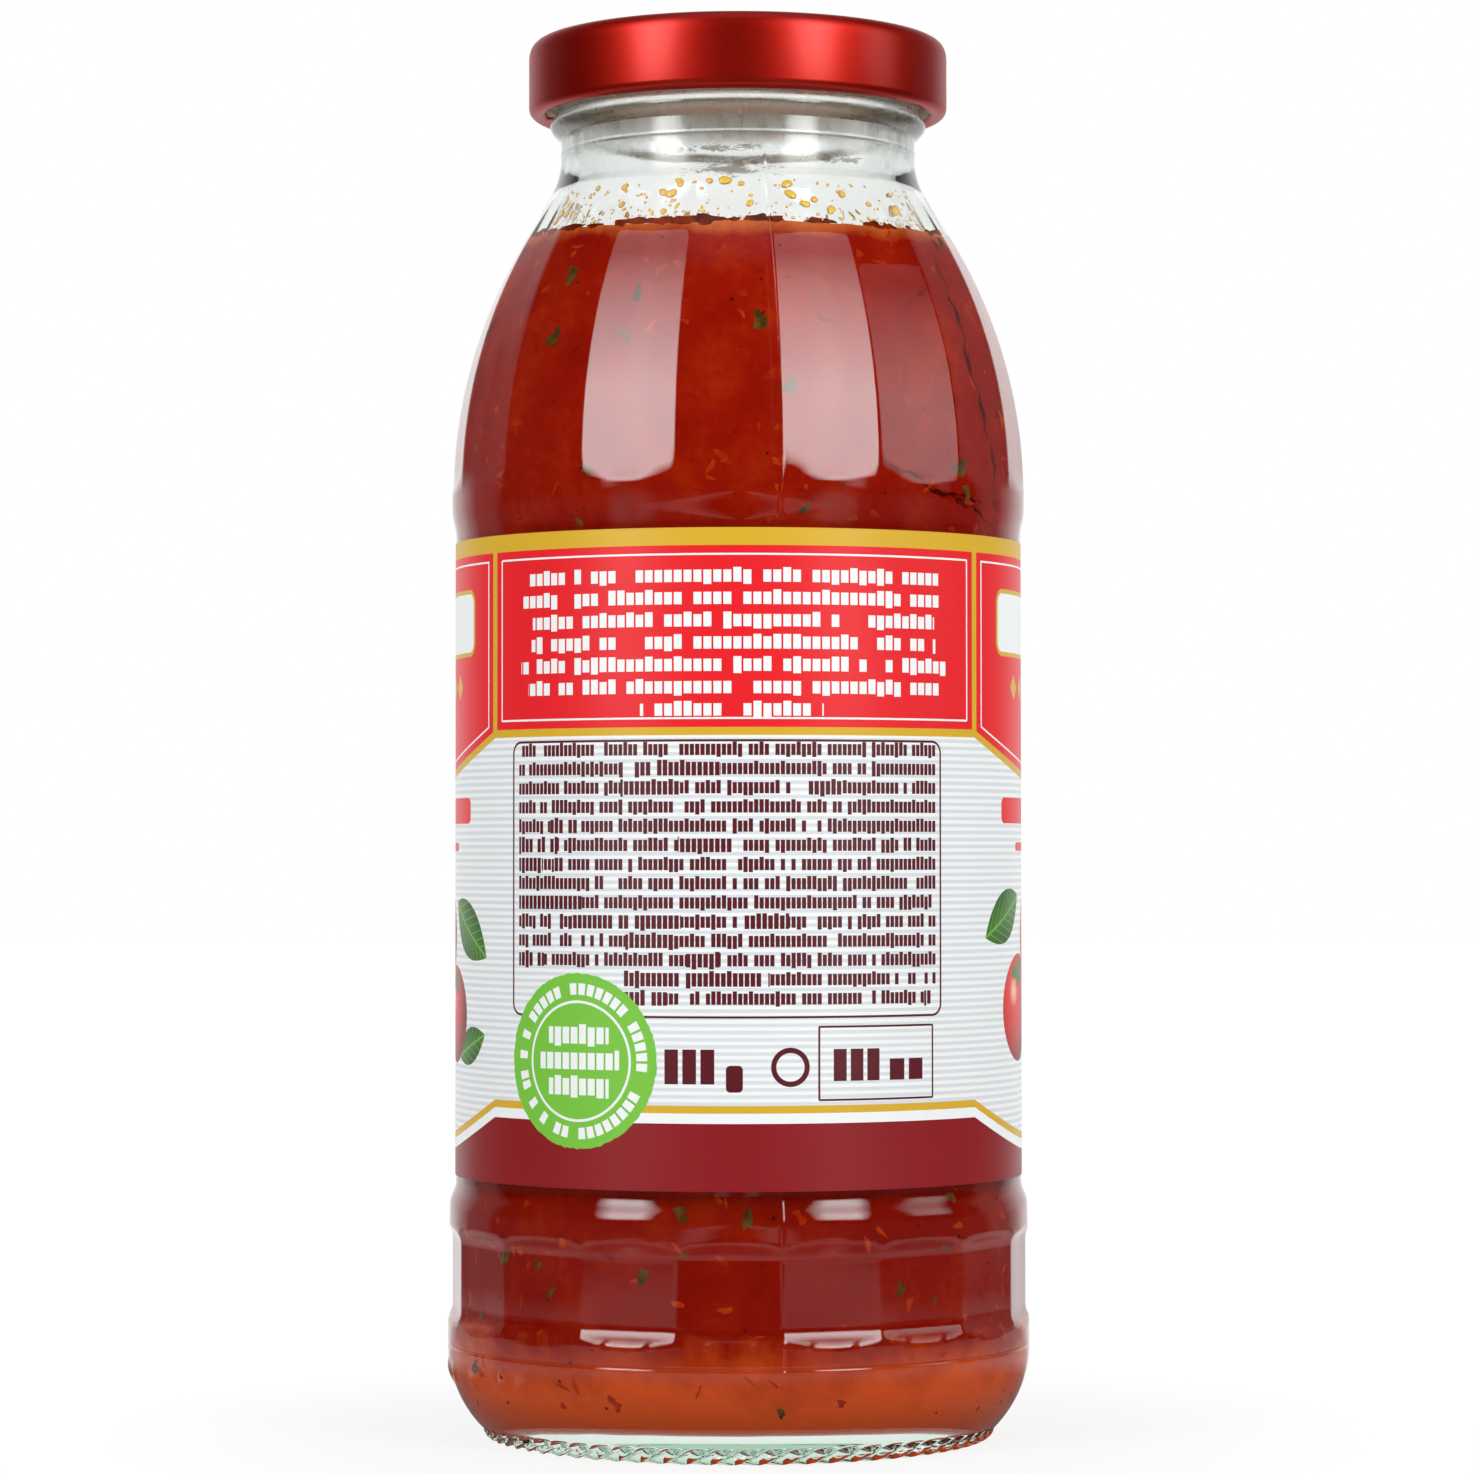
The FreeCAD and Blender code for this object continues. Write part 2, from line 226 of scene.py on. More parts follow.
def mould_marks(turn, z):
    """How far the mould's marks stand out: bell curves across the seams of the body and the neck and
    across the rings where the moulds meet, and a row of low domes above the foot."""
    from_seam = np.abs((np.degrees(turn) - FACET_EDGE + 90) % 180 - 90)
    seam_ends = np.clip((z - 7) / 2, 0, 1) * np.clip((neck[1] - 2 - z) / 4, 0, 1)
    bare = np.clip((np.abs(z - (label_z + label_top) / 2) - (label_top - label_z) / 2) / 0.5, 0, 1)
    relief = 0.1 * np.exp(-(from_seam / 0.26) ** 2) * seam_ends * bare
    from_seam = np.abs((np.degrees(turn) - neck_seam + 90) % 180 - 90)
    seam_ends = np.clip((z - neck[1] - 0.5) / 1, 0, 1) * (z < finish_z)
    relief = relief + 0.06 * np.exp(-(from_seam / 0.5) ** 2) * seam_ends
    relief = relief - 0.07 * np.exp(-((z - heel_z) / 0.14) ** 2)
    relief = relief + 0.06 * np.exp(-((z - neck[1] - 0.55) / 0.12) ** 2)
    for place in marks:
        across = (np.degrees(turn) - place + 180) % 360 - 180
        oval = 1 - (across * heel_r * np.pi / 180 / 0.75) ** 2 - ((z - 8) / 1.3) ** 2
        relief = relief + 0.32 * np.sqrt(np.clip(oval, 0, 1))
    return relief


def jar_surface():
    """Outer grid. A point's radius is the smaller of the round section's and the flat's, which is the flat's
    distance over the cosine of the angle to its middle. Marks and threads are added to it, and the foot's
    grooves cut in. Columns gather at the facets' edges and lean with the grooves."""
    section = glass_outside()
    r, z = section[:, :1], section[:, 1:]
    column = np.arange(ROUND) / ROUND
    corner_at = (foot_r + foot_round * 0.7, foot_round * 0.3)
    corner = np.argmin(np.abs(section - corner_at).sum(axis=1))
    step = np.hypot(*np.diff(section, axis=0, prepend=section[:1]).T)
    along = (np.cumsum(step) - np.cumsum(step)[corner])[:, None]
    skew = np.tan(np.radians(strand_lean)) * np.clip(strand - along, 0, 2 * strand) / foot_r
    gather = 0.7 * np.clip((z - 5) / 4, 0, 1) * np.clip((finish_z + 0.6 - z) / 3, 0, 1)
    around = 2 * np.pi * column[None, :] - gather * np.sin(2 * np.pi * FACETS * column[None, :]) / FACETS
    turn = np.radians(FACET_EDGE) + around - skew
    facet = 360 / FACETS
    edge = np.abs((np.degrees(turn) - FACET_EDGE + facet / 2) % facet - facet / 2)
    soft = np.sqrt(edge ** 2 + 0.4 ** 2)
    flat = facet_section(z) / np.cos(np.radians(facet / 2 - soft))
    radius = soft_min(flat, r, 0.07) + mould_marks(turn, z)
    radius = radius + thread_height(turn, z) * ((z > finish_z) & (z < rim_z - 1))
    groove = (1 - np.abs(np.sin(np.pi * STRANDS * column)))[None, :]
    run = np.sqrt(np.clip(1 - (along / strand) ** 2, 0, 1)) * (r > seat_r - 1) * (z < 4)
    depth = strand_depth * groove * run
    tangent = np.gradient(section, axis=0)
    tangent /= np.linalg.norm(tangent, axis=1, keepdims=True)
    radius = radius - depth * tangent[:, 1:]
    height = z + depth * tangent[:, :1]
    return np.stack([radius * np.sin(turn), -radius * np.cos(turn), height + 0 * turn], axis=2)


def turned(section, count):
    """A section carried round the axis: (r sin t, -r cos t, z) for count equal turns t from the first
    facet's edge."""
    turn = np.radians(FACET_EDGE) + 2 * np.pi * np.arange(count) / count
    r, z = section[:, :1], section[:, 1:]
    return np.stack([r * np.sin(turn), -r * np.cos(turn), z + 0 * turn], axis=2)


def grid_faces(rows, columns, first=0, wrap=True):
    """Quads between neighbouring rows and columns of a grid, whose columns close when wrap is true."""
    i = np.arange(rows - 1)[:, None] * columns
    j = np.arange(columns if wrap else columns - 1)[None, :]
    k = (j + 1) % columns
    return first + np.stack([i + j, i + k, i + columns + k, i + columns + j], axis=2).reshape(-1, 4)


def fan(pole, ring, backwards=False):
    """Triangles between a pole and the ring round it."""
    after = np.roll(ring, -1)
    pair = (after, ring) if backwards else (ring, after)
    return np.stack([pair[0], pair[1], np.full_like(ring, pole)], axis=1)


def new_piece(name, points, face_sets, crease=35):
    """A mesh object from points in millimetres and arrays of faces; edges sharper than crease stay sharp."""
    mesh = bpy.data.meshes.new(name)
    corners = np.concatenate([f.ravel() for f in face_sets])
    sizes = np.concatenate([np.full(len(f), f.shape[1]) for f in face_sets])
    mesh.vertices.add(len(points))
    mesh.vertices.foreach_set("co", (points * MM).astype(np.float32).ravel())
    mesh.loops.add(len(corners))
    mesh.loops.foreach_set("vertex_index", corners.astype(np.int32))
    mesh.polygons.add(len(sizes))
    mesh.polygons.foreach_set("loop_start", (np.cumsum(sizes) - sizes).astype(np.int32))
    mesh.update(calc_edges=True)
    mesh.validate()
    mesh.polygons.foreach_set("use_smooth", np.ones(len(sizes), bool))
    mesh.set_sharp_from_angle(angle=np.radians(crease))
    piece = bpy.data.objects.new(name, mesh)
    bpy.context.scene.collection.objects.link(piece)
    return piece


class Shade:
    """A socket of a material's nodes. Sums, products and comparisons of shades add the nodes that they
    need."""

    def __init__(self, tree, socket=None):
        self.tree = tree
        self.socket = socket

    def node(self, kind, sockets=None, out=0, stops=None, **settings):
        """A new node: its settings or a ramp's stops are set first, then its sockets' values or links."""
        made = self.tree.nodes.new("ShaderNode" + kind)
        for name, value in settings.items():
            setattr(made, name, value)
        if stops:
            ramp = made.color_ramp.elements
            for place, colour in stops[2:]:
                ramp.new(place)
            for element, (place, colour) in zip(ramp, stops):
                element.position = place
                element.color = colour
        for name, value in (sockets or {}).items():
            if isinstance(value, Shade):
                self.tree.links.new(value.socket, made.inputs[name])
            else:
                made.inputs[name].default_value = value
        return Shade(self.tree, made.outputs[out])

    def math(self, operation, *values):
        """A Math node with these values or shades."""
        return self.node("Math", dict(enumerate(values)), operation=operation)

    def mix(self, first, second):
        """The first colour where this mask is 0, and the second where it is 1."""
        return self.node("Mix", {0: self, 6: first, 7: second}, out=2, data_type="RGBA")

    def __add__(self, other):
        return self.math("ADD", self, other)

    def __radd__(self, other):
        return self.math("ADD", other, self)

    def __sub__(self, other):
        return self.math("SUBTRACT", self, other)

    def __rsub__(self, other):
        return self.math("SUBTRACT", other, self)

    def __mul__(self, other):
        return self.math("MULTIPLY", self, other)

    def __rmul__(self, other):
        return self.math("MULTIPLY", other, self)

    def __truediv__(self, other):
        return self.math("DIVIDE", self, other)

    def __mod__(self, other):
        return self.math("FLOORED_MODULO", self, other)

    def __lt__(self, other):
        return self.math("LESS_THAN", self, other)

    def __gt__(self, other):
        return self.math("GREATER_THAN", self, other)

    def __and__(self, other):
        return self.math("MINIMUM", self, other)

    def __or__(self, other):
        return self.math("MAXIMUM", self, other)

    def __abs__(self):
        return self.math("ABSOLUTE", self)

    def floor(self):
        return self.math("FLOOR", self)

    def part(self, out):
        """Another output of the same node."""
        return Shade(self.tree, self.socket.node.outputs[out])

    def within(self, low, high):
        """A mask: 1 between two values."""
        return (self > low) * (self < high)


def paint(red, green, blue):
    """A colour as it is seen, from 0 to 255, made linear: the power 2.4 law of a screen."""
    seen = np.array([red, green, blue]) / 255
    linear = np.where(seen <= 0.04045, seen / 12.92, ((seen + 0.055) / 1.055) ** 2.4)
    return (*linear.tolist(), 1.0)


def new_material(name):
    """A material with an empty tree; returns it with a shade to build from and its surface output."""
    material = bpy.data.materials.new(name)
    material.use_nodes = True
    tree = material.node_tree
    tree.nodes.clear()
    output = tree.nodes.new("ShaderNodeOutputMaterial")
    return material, Shade(tree), output


def finish_material(material, shader, output, *pieces):
    """Ends a material with its shader and gives it to the pieces, in place of any that they have."""
    material.node_tree.links.new(shader.socket, output.inputs["Surface"])
    for piece in pieces:
        piece.data.materials.clear()
        piece.data.materials.append(material)


# the inside has half as many columns, so five-sided faces join the two surfaces on the rim
outside = jar_surface()
inside_section = glass_inside(16)
inside = turned(inside_section, INNER_ROUND)
outer_rows, inner_rows = len(outside), len(inside)
inner_first = outer_rows * ROUND
base_pole = inner_first + inner_rows * INNER_ROUND
floor_pole = base_pole + 1
jar_points = np.concatenate([
    outside.reshape(-1, 3), inside.reshape(-1, 3),
    [[0, 0, hollow_h], [0, 0, inside_section[-1, 1]]],
])
j = np.arange(INNER_ROUND)
last_ring = (outer_rows - 1) * ROUND
rim_faces = np.stack([
    last_ring + 2 * j, last_ring + 2 * j + 1, last_ring + (2 * j + 2) % ROUND,
    inner_first + (j + 1) % INNER_ROUND, inner_first + j,
], axis=1)
jar = new_piece("glass_jar", jar_points, [
    grid_faces(outer_rows, ROUND),
    rim_faces,
    grid_faces(inner_rows, INNER_ROUND, inner_first),
    fan(base_pole, np.arange(ROUND), backwards=True),
    fan(floor_pole, inner_first + (inner_rows - 1) * INNER_ROUND + j),
])

glass, shade, output = new_material("clear_glass")
spot = shade.node("TexCoord", out=3)
drawn = shade.node("VectorMath", {0: spot, 1: (1.0, 1.0, 0.4)}, operation="MULTIPLY")
ripple = shade.node("TexNoise", {"Vector": drawn, "Scale": 120.0, "Detail": 1.0})
wavy = shade.node("Bump", {"Height": ripple, "Strength": 0.09, "Distance": 0.001})
level_place = shade.node("VectorMath", {0: spot, 1: (1.0, 1.0, 0.0)}, operation="MULTIPLY")
from_axis = shade.node("VectorMath", {0: level_place}, operation="LENGTH", out=1)
height = shade.node("SeparateXYZ", {0: spot}, out=2)

# rays for shadows and diffuse light go straight through, and so does all light in the hollow of the base
let_through = shade.node("BsdfTransparent", {"Color": (0.96, 0.97, 0.965, 1)})
light = shade.node("LightPath")
hollow = (from_axis < (seat_r - 3.0) * MM) * (height < (hollow_h + 0.2) * MM)
straight = light.part(1) | light.part(2) | hollow

# the inner wall of the neck is dulled by what has dried on it
grain = shade.node("TexNoise", {"Vector": drawn, "Scale": 700.0, "Detail": 3.0})
frost = shade.node("MapRange", {0: height, 1: (neck[1] - 2.2) * MM, 2: neck[1] * MM, 3: 0.0, 4: 1.0})
frost = frost * (from_axis < (bore_r + 0.7) * MM) * (0.05 + 0.5 * grain)
body = shade.node("BsdfPrincipled", {
    "Base Color": (0.996, 1.0, 0.998, 1), "Roughness": frost, "IOR": 1.52,
    "Transmission Weight": 1.0, "Normal": wavy,
})
finish_material(glass, shade.node("MixShader", {0: straight, 1: body, 2: let_through}), output, jar)
absorb = shade.node("VolumeAbsorption", {"Color": paint(150, 215, 180), "Density": 20.0})
glass.node_tree.links.new(absorb.socket, output.inputs["Volume"])
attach(jar, "root")
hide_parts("jar")

# ======== the sauce ========
# Cooked tomato pulp with oil, hot-filled to the shoulder. It wets the glass, so its skin is drawn a
# hair's breadth inside the wall, and it climbs a little at the edge of its surface.
REACH = 0.15             # how far it goes into the glass
SAUCE_ROUND = 240
edge_z = fill_z - 0.45   # where its surface meets the wall
climb_h = 1.0            # how far the middle lies below the edge


def sauce_section():
    """The inner wall moved out by the reach, up to the fill line, then the surface, which falls from its
    edge as 1 less e to the power of the distance."""
    wall = glass_inside(30)[::-1]
    tangent = np.gradient(wall, axis=0)
    tangent /= np.linalg.norm(tangent, axis=1, keepdims=True)
    wall = wall + REACH * np.stack([tangent[:, 1], -tangent[:, 0]], axis=1)
    low = wall[wall[:, 1] < edge_z - 0.2]
    top_r = np.interp(edge_z, wall[:, 1], wall[:, 0])
    share = np.linspace(0, 1, 16)[:, None]
    surface_r = top_r * (1 - share) + 0.4 * share
    surface_z = edge_z - climb_h * (1 - np.exp(-(top_r - surface_r) / 1.6))
    return np.concatenate([low, np.concatenate([surface_r, surface_z], axis=1)])


section = sauce_section()
sauce_points = turned(section, SAUCE_ROUND)
turn = np.arctan2(sauce_points[..., 0], -sauce_points[..., 1])
level = np.clip((section[:, 1] - fill_z + 2) / 2, 0, 1)[:, None]
lumps = 0.10 * np.sin(7 * turn + 1) + 0.08 * np.sin(17 * turn + 2) + 0.06 * np.sin(41 * turn + section[:, :1])
sauce_points[..., 2] += level * lumps
rows = len(section)
ring = np.arange(SAUCE_ROUND)
sauce_points = np.concatenate([sauce_points.reshape(-1, 3), [[0, 0, section[0, 1]], [0, 0, section[-1, 1]]]])
sauce = new_piece("tomato_sauce", sauce_points, [
    grid_faces(rows, SAUCE_ROUND),
    fan(rows * SAUCE_ROUND, ring, backwards=True),
    fan(rows * SAUCE_ROUND + 1, (rows - 1) * SAUCE_ROUND + ring),
])

pulp, shade, output = new_material("tomato_pulp")
spot = shade.node("TexCoord", out=3)
cloud = shade.node("TexNoise", {"Vector": spot, "Scale": 130.0, "Detail": 4.0, "Roughness": 0.6})
grain = shade.node("TexNoise", {"Vector": spot, "Scale": 900.0, "Detail": 3.0, "Roughness": 0.7})
height = shade.node("SeparateXYZ", {0: spot}, out=2)

# pale pulp has sunk to the heel and oily pulp floats at the surface; between them the pulp is painted darker
# downwards, a painted shade for light that falls off lower on the jar
sunk = shade.node("MapRange", {
    0: height + 0.012 * (cloud - 0.5), 1: (heel_z + 2.6) * MM, 2: (heel_z - 3.7) * MM, 3: 0.0, 4: 1.0,
})
oily = shade.node("MapRange", {
    0: height + 0.004 * (cloud - 0.5), 1: (fill_z - 2.1) * MM, 2: (fill_z - 0.4) * MM, 3: 0.0, 4: 1.0,
})
# painted shade: the pulp's colour darkens from the fill line down to the label's foot
painted_low_shade = shade.node("MapRange", {
    0: height, 1: (fill_z - 1.1) * MM, 2: (label_z - 1.0) * MM, 3: 0.14, 4: 0.42,
})
colour = shade.node("ValToRGB", {0: cloud * 0.7 + grain * 0.3}, stops=[
    (0.32, paint(140, 11, 1)), (0.5, paint(155, 20, 2)), (0.66, paint(173, 38, 5)),
])
colour = painted_low_shade.mix(colour, paint(96, 4, 1))
colour = (sunk * 0.85).mix(colour, paint(226, 84, 26))
colour = (oily * 0.7).mix(colour, paint(214, 112, 52))
lumpy = shade.node("Bump", {"Height": grain + cloud, "Strength": 0.35, "Distance": 0.0004})
body = shade.node("BsdfPrincipled", {
    "Base Color": colour, "Roughness": 0.6, "Specular IOR Level": 0.0, "Normal": lumpy,
})

# the skin under the glass mirrors only where light grazes it, as from glass into pulp
wet = shade.node("Fresnel", {"IOR": 0.908})
mirror = shade.node("BsdfGlossy", {"Color": (1, 1, 1, 1), "Roughness": 0.0})
finish_material(pulp, shade.node("MixShader", {0: wet, 1: body, 2: mirror}), output, sauce)
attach(sauce, "root")
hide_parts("sauce")

# ======== basil, peel, onion and pepper ========
# Chopped basil, bits of tomato peel, shreds of onion and ground pepper lie against the glass. Each
# kind is one joined piece of small lens shapes with uneven outlines, pressed on to the wall.
wall = glass_inside(30)[::-1]
wall = wall[np.argmin(wall[:, 1]):]
wall_along = np.gradient(wall, axis=0)
wall_along /= np.linalg.norm(wall_along, axis=1, keepdims=True)
random = np.random.default_rng(7)


def on_wall(turn, z, lift):
    """Points at a turn and height of the inner wall, moved out by lift along the normal of its section."""
    r = np.interp(z, wall[:, 1], wall[:, 0])
    normal_r = np.interp(z, wall[:, 1], wall_along[:, 1])
    normal_z = -np.interp(z, wall[:, 1], wall_along[:, 0])
    radius = r + lift * normal_r
    return np.stack([radius * np.sin(turn), -radius * np.cos(turn), z + lift * normal_z], axis=-1)


def bits(name, turn, z, long, wide, thick, lift, tilt, ragged=1.0, rows=3, columns=9):
    """Lens shapes on the wall. The outline, a stretched circle with waves of three and five turned by tilt,
    shrinks by cos(pi v / 2) while the height is sin(pi v / 2), for v from -1 to 1."""
    count = len(turn)
    v = np.concatenate([[-1], np.linspace(-1, 1, rows + 2)[1:-1], [1]])[None, :, None]
    phi = 2 * np.pi * np.arange(columns)[None, None, :] / columns
    start = random.uniform(0, 2 * np.pi, (2, count, 1, 1))
    outline = 1 + ragged * (0.22 * np.sin(3 * phi + start[0]) + 0.14 * np.sin(5 * phi + start[1]))
    long, wide, thick, lift, tilt, turn, z = (
        np.broadcast_to(value, count)[:, None, None] for value in (long, wide, thick, lift, tilt, turn, z)
    )
    x = long / 2 * outline * np.cos(np.pi * v / 2) * np.cos(phi)
    y = wide / 2 * outline * np.cos(np.pi * v / 2) * np.sin(phi)
    across, up = x * np.cos(tilt) - y * np.sin(tilt), x * np.sin(tilt) + y * np.cos(tilt)
    r = np.interp(z, wall[:, 1], wall[:, 0])
    height = lift + thick / 2 * np.sin(np.pi * v / 2)
    points = on_wall(turn + across / r, z + up, height + 0 * across)
    middle = points[:, 1:-1].reshape(count, -1, 3)
    points = np.concatenate([middle, points[:, [0, -1], 0]], axis=1)
    ring = np.arange(columns)
    faces = [
        grid_faces(rows, columns),
        fan(rows * columns, ring, backwards=True),
        fan(rows * columns + 1, (rows - 1) * columns + ring),
    ]
    first = points.shape[1] * np.arange(count)[:, None, None]
    piece = new_piece(name, points.reshape(-1, 3), [(first + f).reshape(-1, f.shape[1]) for f in faces])
    rise = np.abs(np.sin(np.pi * v[0, :, 0] / 2))
    rise = np.concatenate([np.repeat(rise[1:-1], columns), rise[[0, -1]]])
    swell = piece.data.attributes.new("swell", "FLOAT", "POINT")
    swell.data.foreach_set("value", np.tile(rise, count).astype(np.float32))
    return piece


def scattered(count):
    """Seeded places in the two bands of wall that the label leaves bare, a share by height in each."""
    lowest, highest = 6.0, fill_z - 1.3
    lower, upper = label_z + 0.5 - lowest, highest - label_top
    along = random.uniform(0, lower + upper, count)
    z = np.where(along < lower, lowest + along, label_top + along - lower)
    return random.uniform(0, 2 * np.pi, count), z


def fleck_material(name, dark, light, scale, rough):
    """Two tones mixed by a noise about as coarse as one bit, so that each has its own."""
    material, shade, output = new_material(name)
    spot = shade.node("TexCoord", out=3)
    tone = shade.node("TexNoise", {"Vector": spot, "Scale": scale, "Detail": 3.0, "Roughness": 0.6})
    share = shade.node("MapRange", {0: tone, 1: 0.36, 2: 0.64, 3: 0.0, 4: 1.0})
    fold = shade.node("Bump", {"Height": tone, "Strength": 0.3, "Distance": 0.0002})
    body = shade.node("BsdfPrincipled", {
        "Base Color": share.mix(dark, light), "Roughness": rough + 0.1 * tone,
        "Specular IOR Level": 0.0, "Normal": fold,
    })
    return material, body, output


count = 64
turn, z = scattered(count)
size = random.uniform(0.8, 2.6, count)
basil = bits("basil_flecks", turn, z, size, size * random.uniform(0.35, 0.75, count), 0.14,
             REACH + 0.03, random.uniform(0.6, 2.6, count))
finish_material(*fleck_material("cooked_basil", paint(62, 42, 16), paint(112, 74, 30), 420.0, 0.6), basil)

count = 60
turn, z = scattered(count)
size = random.uniform(0.7, 2.4, count)
peel = bits("tomato_peel", turn, z, size, size * random.uniform(0.25, 0.55, count), 0.14,
            REACH + 0.02, random.uniform(-0.6, 0.6, count))
finish_material(*fleck_material("tomato_skin", paint(112, 8, 4), paint(150, 20, 8), 420.0, 0.5), peel)

count = 420
turn, z = scattered(count)
size = random.uniform(0.6, 2.2, count)
onion = bits("onion_shreds", turn, z, size, random.uniform(0.3, 0.9, count), 0.09,
             REACH, random.uniform(0, np.pi, count), columns=8)
finish_material(*fleck_material("stewed_onion", paint(150, 28, 5), paint(176, 56, 14), 300.0, 0.6), onion)

count = 260
turn, z = scattered(count)
size = random.uniform(0.22, 0.55, count)
pepper = bits("pepper_specks", turn, z, size, size * random.uniform(0.5, 1.0, count), 0.16,
              REACH + 0.04, random.uniform(0, np.pi, count), rows=2, columns=6)
finish_material(*fleck_material("ground_pepper", paint(40, 10, 6), paint(84, 20, 10), 900.0, 0.6), pepper)
for piece in (basil, peel, onion, pepper):
    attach(piece, "root")

# ======== the oil ========
# Oil that has risen from the sauce: a ragged dark line where its surface meets the glass, and amber
# drops that cling to the inner wall above it.
DROPS_BAND = 4.8         # how far above the sauce the drops reach
count = 84
turn = random.uniform(0, 2 * np.pi, count)
size = random.uniform(0.5, 1, count) ** 2 * 4.4
oily_edge = bits("oily_edge", turn, edge_z + random.uniform(-0.1, 0.35, count), size,
                 random.uniform(0.5, 1.05, count), 0.5, 0.05, random.uniform(-0.1, 0.1, count), columns=14)
finish_material(*fleck_material("dark_oil", paint(78, 16, 4), paint(140, 48, 10), 500.0, 0.3), oily_edge)

count = 620
turn = random.uniform(0, 2 * np.pi, count)
large = random.uniform(0, 1, count) < 0.12
rise = np.where(large, random.uniform(0.1, 1, count), random.uniform(0, 1, count) ** 2.2)
size = np.where(large, random.uniform(0.5, 1.05, count), random.uniform(0.14, 0.42, count))
drops = bits("oil_drops", turn, fill_z + DROPS_BAND * rise, size * random.uniform(1.0, 1.7, count), size,
             0.4 * size + 0.06, -0.22 * size - 0.05, random.uniform(-0.5, 1.0, count),
             ragged=0.3, rows=4, columns=10)
amber, shade, output = new_material("amber_oil")
spot = shade.node("TexCoord", out=3)
tone = shade.node("TexNoise", {"Vector": spot, "Scale": 350.0, "Detail": 1.0})
# painted shade: where a drop's swell is low, at its edge, it is painted dark brown for the dark rim that
# light bending through a lens of oil shows
swell = shade.node("Attribute", attribute_name="swell", out=2)
rim = shade.node("MapRange", {0: swell, 1: 0.1, 2: 0.6, 3: 0.0, 4: 1.0})
colour = rim.mix(paint(70, 30, 6), tone.mix(paint(255, 216, 0), paint(244, 150, 0)))
body = shade.node("BsdfPrincipled", {
    "Base Color": colour, "Roughness": 0.08 + 0.1 * tone, "IOR": 1.47,
})
finish_material(amber, body, output, drops)
for piece in (oily_edge, drops):
    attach(piece, "root")

# ======== veins of oil against the shoulder ========
# Where the sauce has drawn away from the glass a little, oil fills the gap: thin dark lines that
# wander down the shoulder and along it.
VEIN_STEPS = 90


def vein(first, last, width, sway, phase):
    """A closed strip on the wall from one (turn, height) to another. Its middle sways by a sum of three
    sines, and its width swells and thins by one more and comes to nothing at both ends."""
    s = np.linspace(0, 1, VEIN_STEPS)
    waves = np.sin(9 * s + phase) + 0.6 * np.sin(23 * s + 2 * phase) + 0.35 * np.sin(57 * s + 3 * phase)
    ends = np.sqrt(np.clip(4 * s * (1 - s), 0, 1))
    half = width * (0.55 + 0.45 * np.sin(31 * s + phase)) * ends + 0.01
    corners = np.array([[-1, 0], [1, 0], [1, 1], [-1, 1]])
    aside = sway * waves + corners[:, :1] * half
    out = REACH - 0.05 + 0.12 * corners[:, 1:]
    steep = float(abs(last[1] - first[1]) > inner_r * abs(np.radians(last[0] - first[0])))
    turn = np.radians(first[0] + (last[0] - first[0]) * s) + steep * aside / inner_r
    z = first[1] + (last[1] - first[1]) * s + (1 - steep) * aside
    return on_wall(turn, z, out).reshape(-1, 3)


# where each starts and ends, as degrees from the front and height; its half width, its sway and its phase
VEINS = [
    ((58, 137.5), (66, 110), 0.5, 0.6, 0.4),
    ((31, 112.8), (65, 107.2), 0.3, 0.3, 1.1),
    ((44, 110.2), (60, 109.6), 0.2, 0.15, 3.0),
    ((118, 134), (133, 112), 0.4, 0.6, 0.9),
    ((204, 136), (196, 116), 0.36, 0.5, 1.7),
    ((286, 133), (276, 110), 0.4, 0.6, 2.6),
    ((140, 109), (176, 108.2), 0.25, 0.2, 0.2),
]


def strip_faces(steps):
    """Quads of a strip with a four-sided section, whose corners are rows of that many points, and its two
    ends. All of them face outwards where the second corner lies outwards from the first."""
    row = steps * np.arange(4)
    after = np.roll(row, -1)
    j = np.arange(steps - 1)[:, None]
    sides = np.stack([row + j, row + j + 1, after + j + 1, after + j], axis=2).reshape(-1, 4)
    return sides, np.array([row, row[::-1] + steps - 1])


first = 4 * VEIN_STEPS * np.arange(len(VEINS))[:, None, None]
sides, ends = strip_faces(VEIN_STEPS)
around = np.concatenate([sides, ends[:, ::-1]])         # the sides face inwards here, and the ends outwards
veins = new_piece("oil_veins", np.concatenate([vein(*path) for path in VEINS]),
                  [(first + around).reshape(-1, 4)])
finish_material(*fleck_material("vein_oil", paint(58, 6, 2), paint(98, 14, 4), 500.0, 0.4), veins)
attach(veins, "root")

# ======== the film in the neck ========
# The last of the steam and a smear of sauce, dried on the inner wall of the neck after filling: a
# thin haze with brownish grey streaks in it.
FILM_ROWS, FILM_COLUMNS = 36, 180
film_z = np.linspace(edge_z + 4.6, bead_z + 1.0, FILM_ROWS)[:, None]
film_turn = 2 * np.pi * np.arange(FILM_COLUMNS)[None, :] / FILM_COLUMNS
film = new_piece("neck_film", on_wall(film_turn, film_z, -0.03 + 0 * film_turn * film_z).reshape(-1, 3),
                 [grid_faces(FILM_ROWS, FILM_COLUMNS)])
haze, shade, output = new_material("dried_film")
spot = shade.node("TexCoord", out=3)
height = shade.node("SeparateXYZ", {0: spot}, out=2) / MM
flat = shade.node("VectorMath", {0: spot, 1: (1.0, 1.0, 2.4)}, operation="MULTIPLY")
streak = shade.node("TexNoise", {
    "Vector": flat, "Scale": 330.0, "Detail": 8.0, "Roughness": 0.8, "Distortion": 0.4,
})
patch = shade.node("TexNoise", {"Vector": flat, "Scale": 95.0, "Detail": 2.0})
onset = shade.node("MapRange", {
    0: height + 3.0 * (patch - 0.5), 1: neck[1] - 5.7, 2: neck[1] - 3.1, 3: 0.0, 4: 1.0,
})
across = shade.node("SeparateXYZ", {0: spot}) / MM
front = shade.node("SeparateXYZ", {0: spot}, out=1) < 0


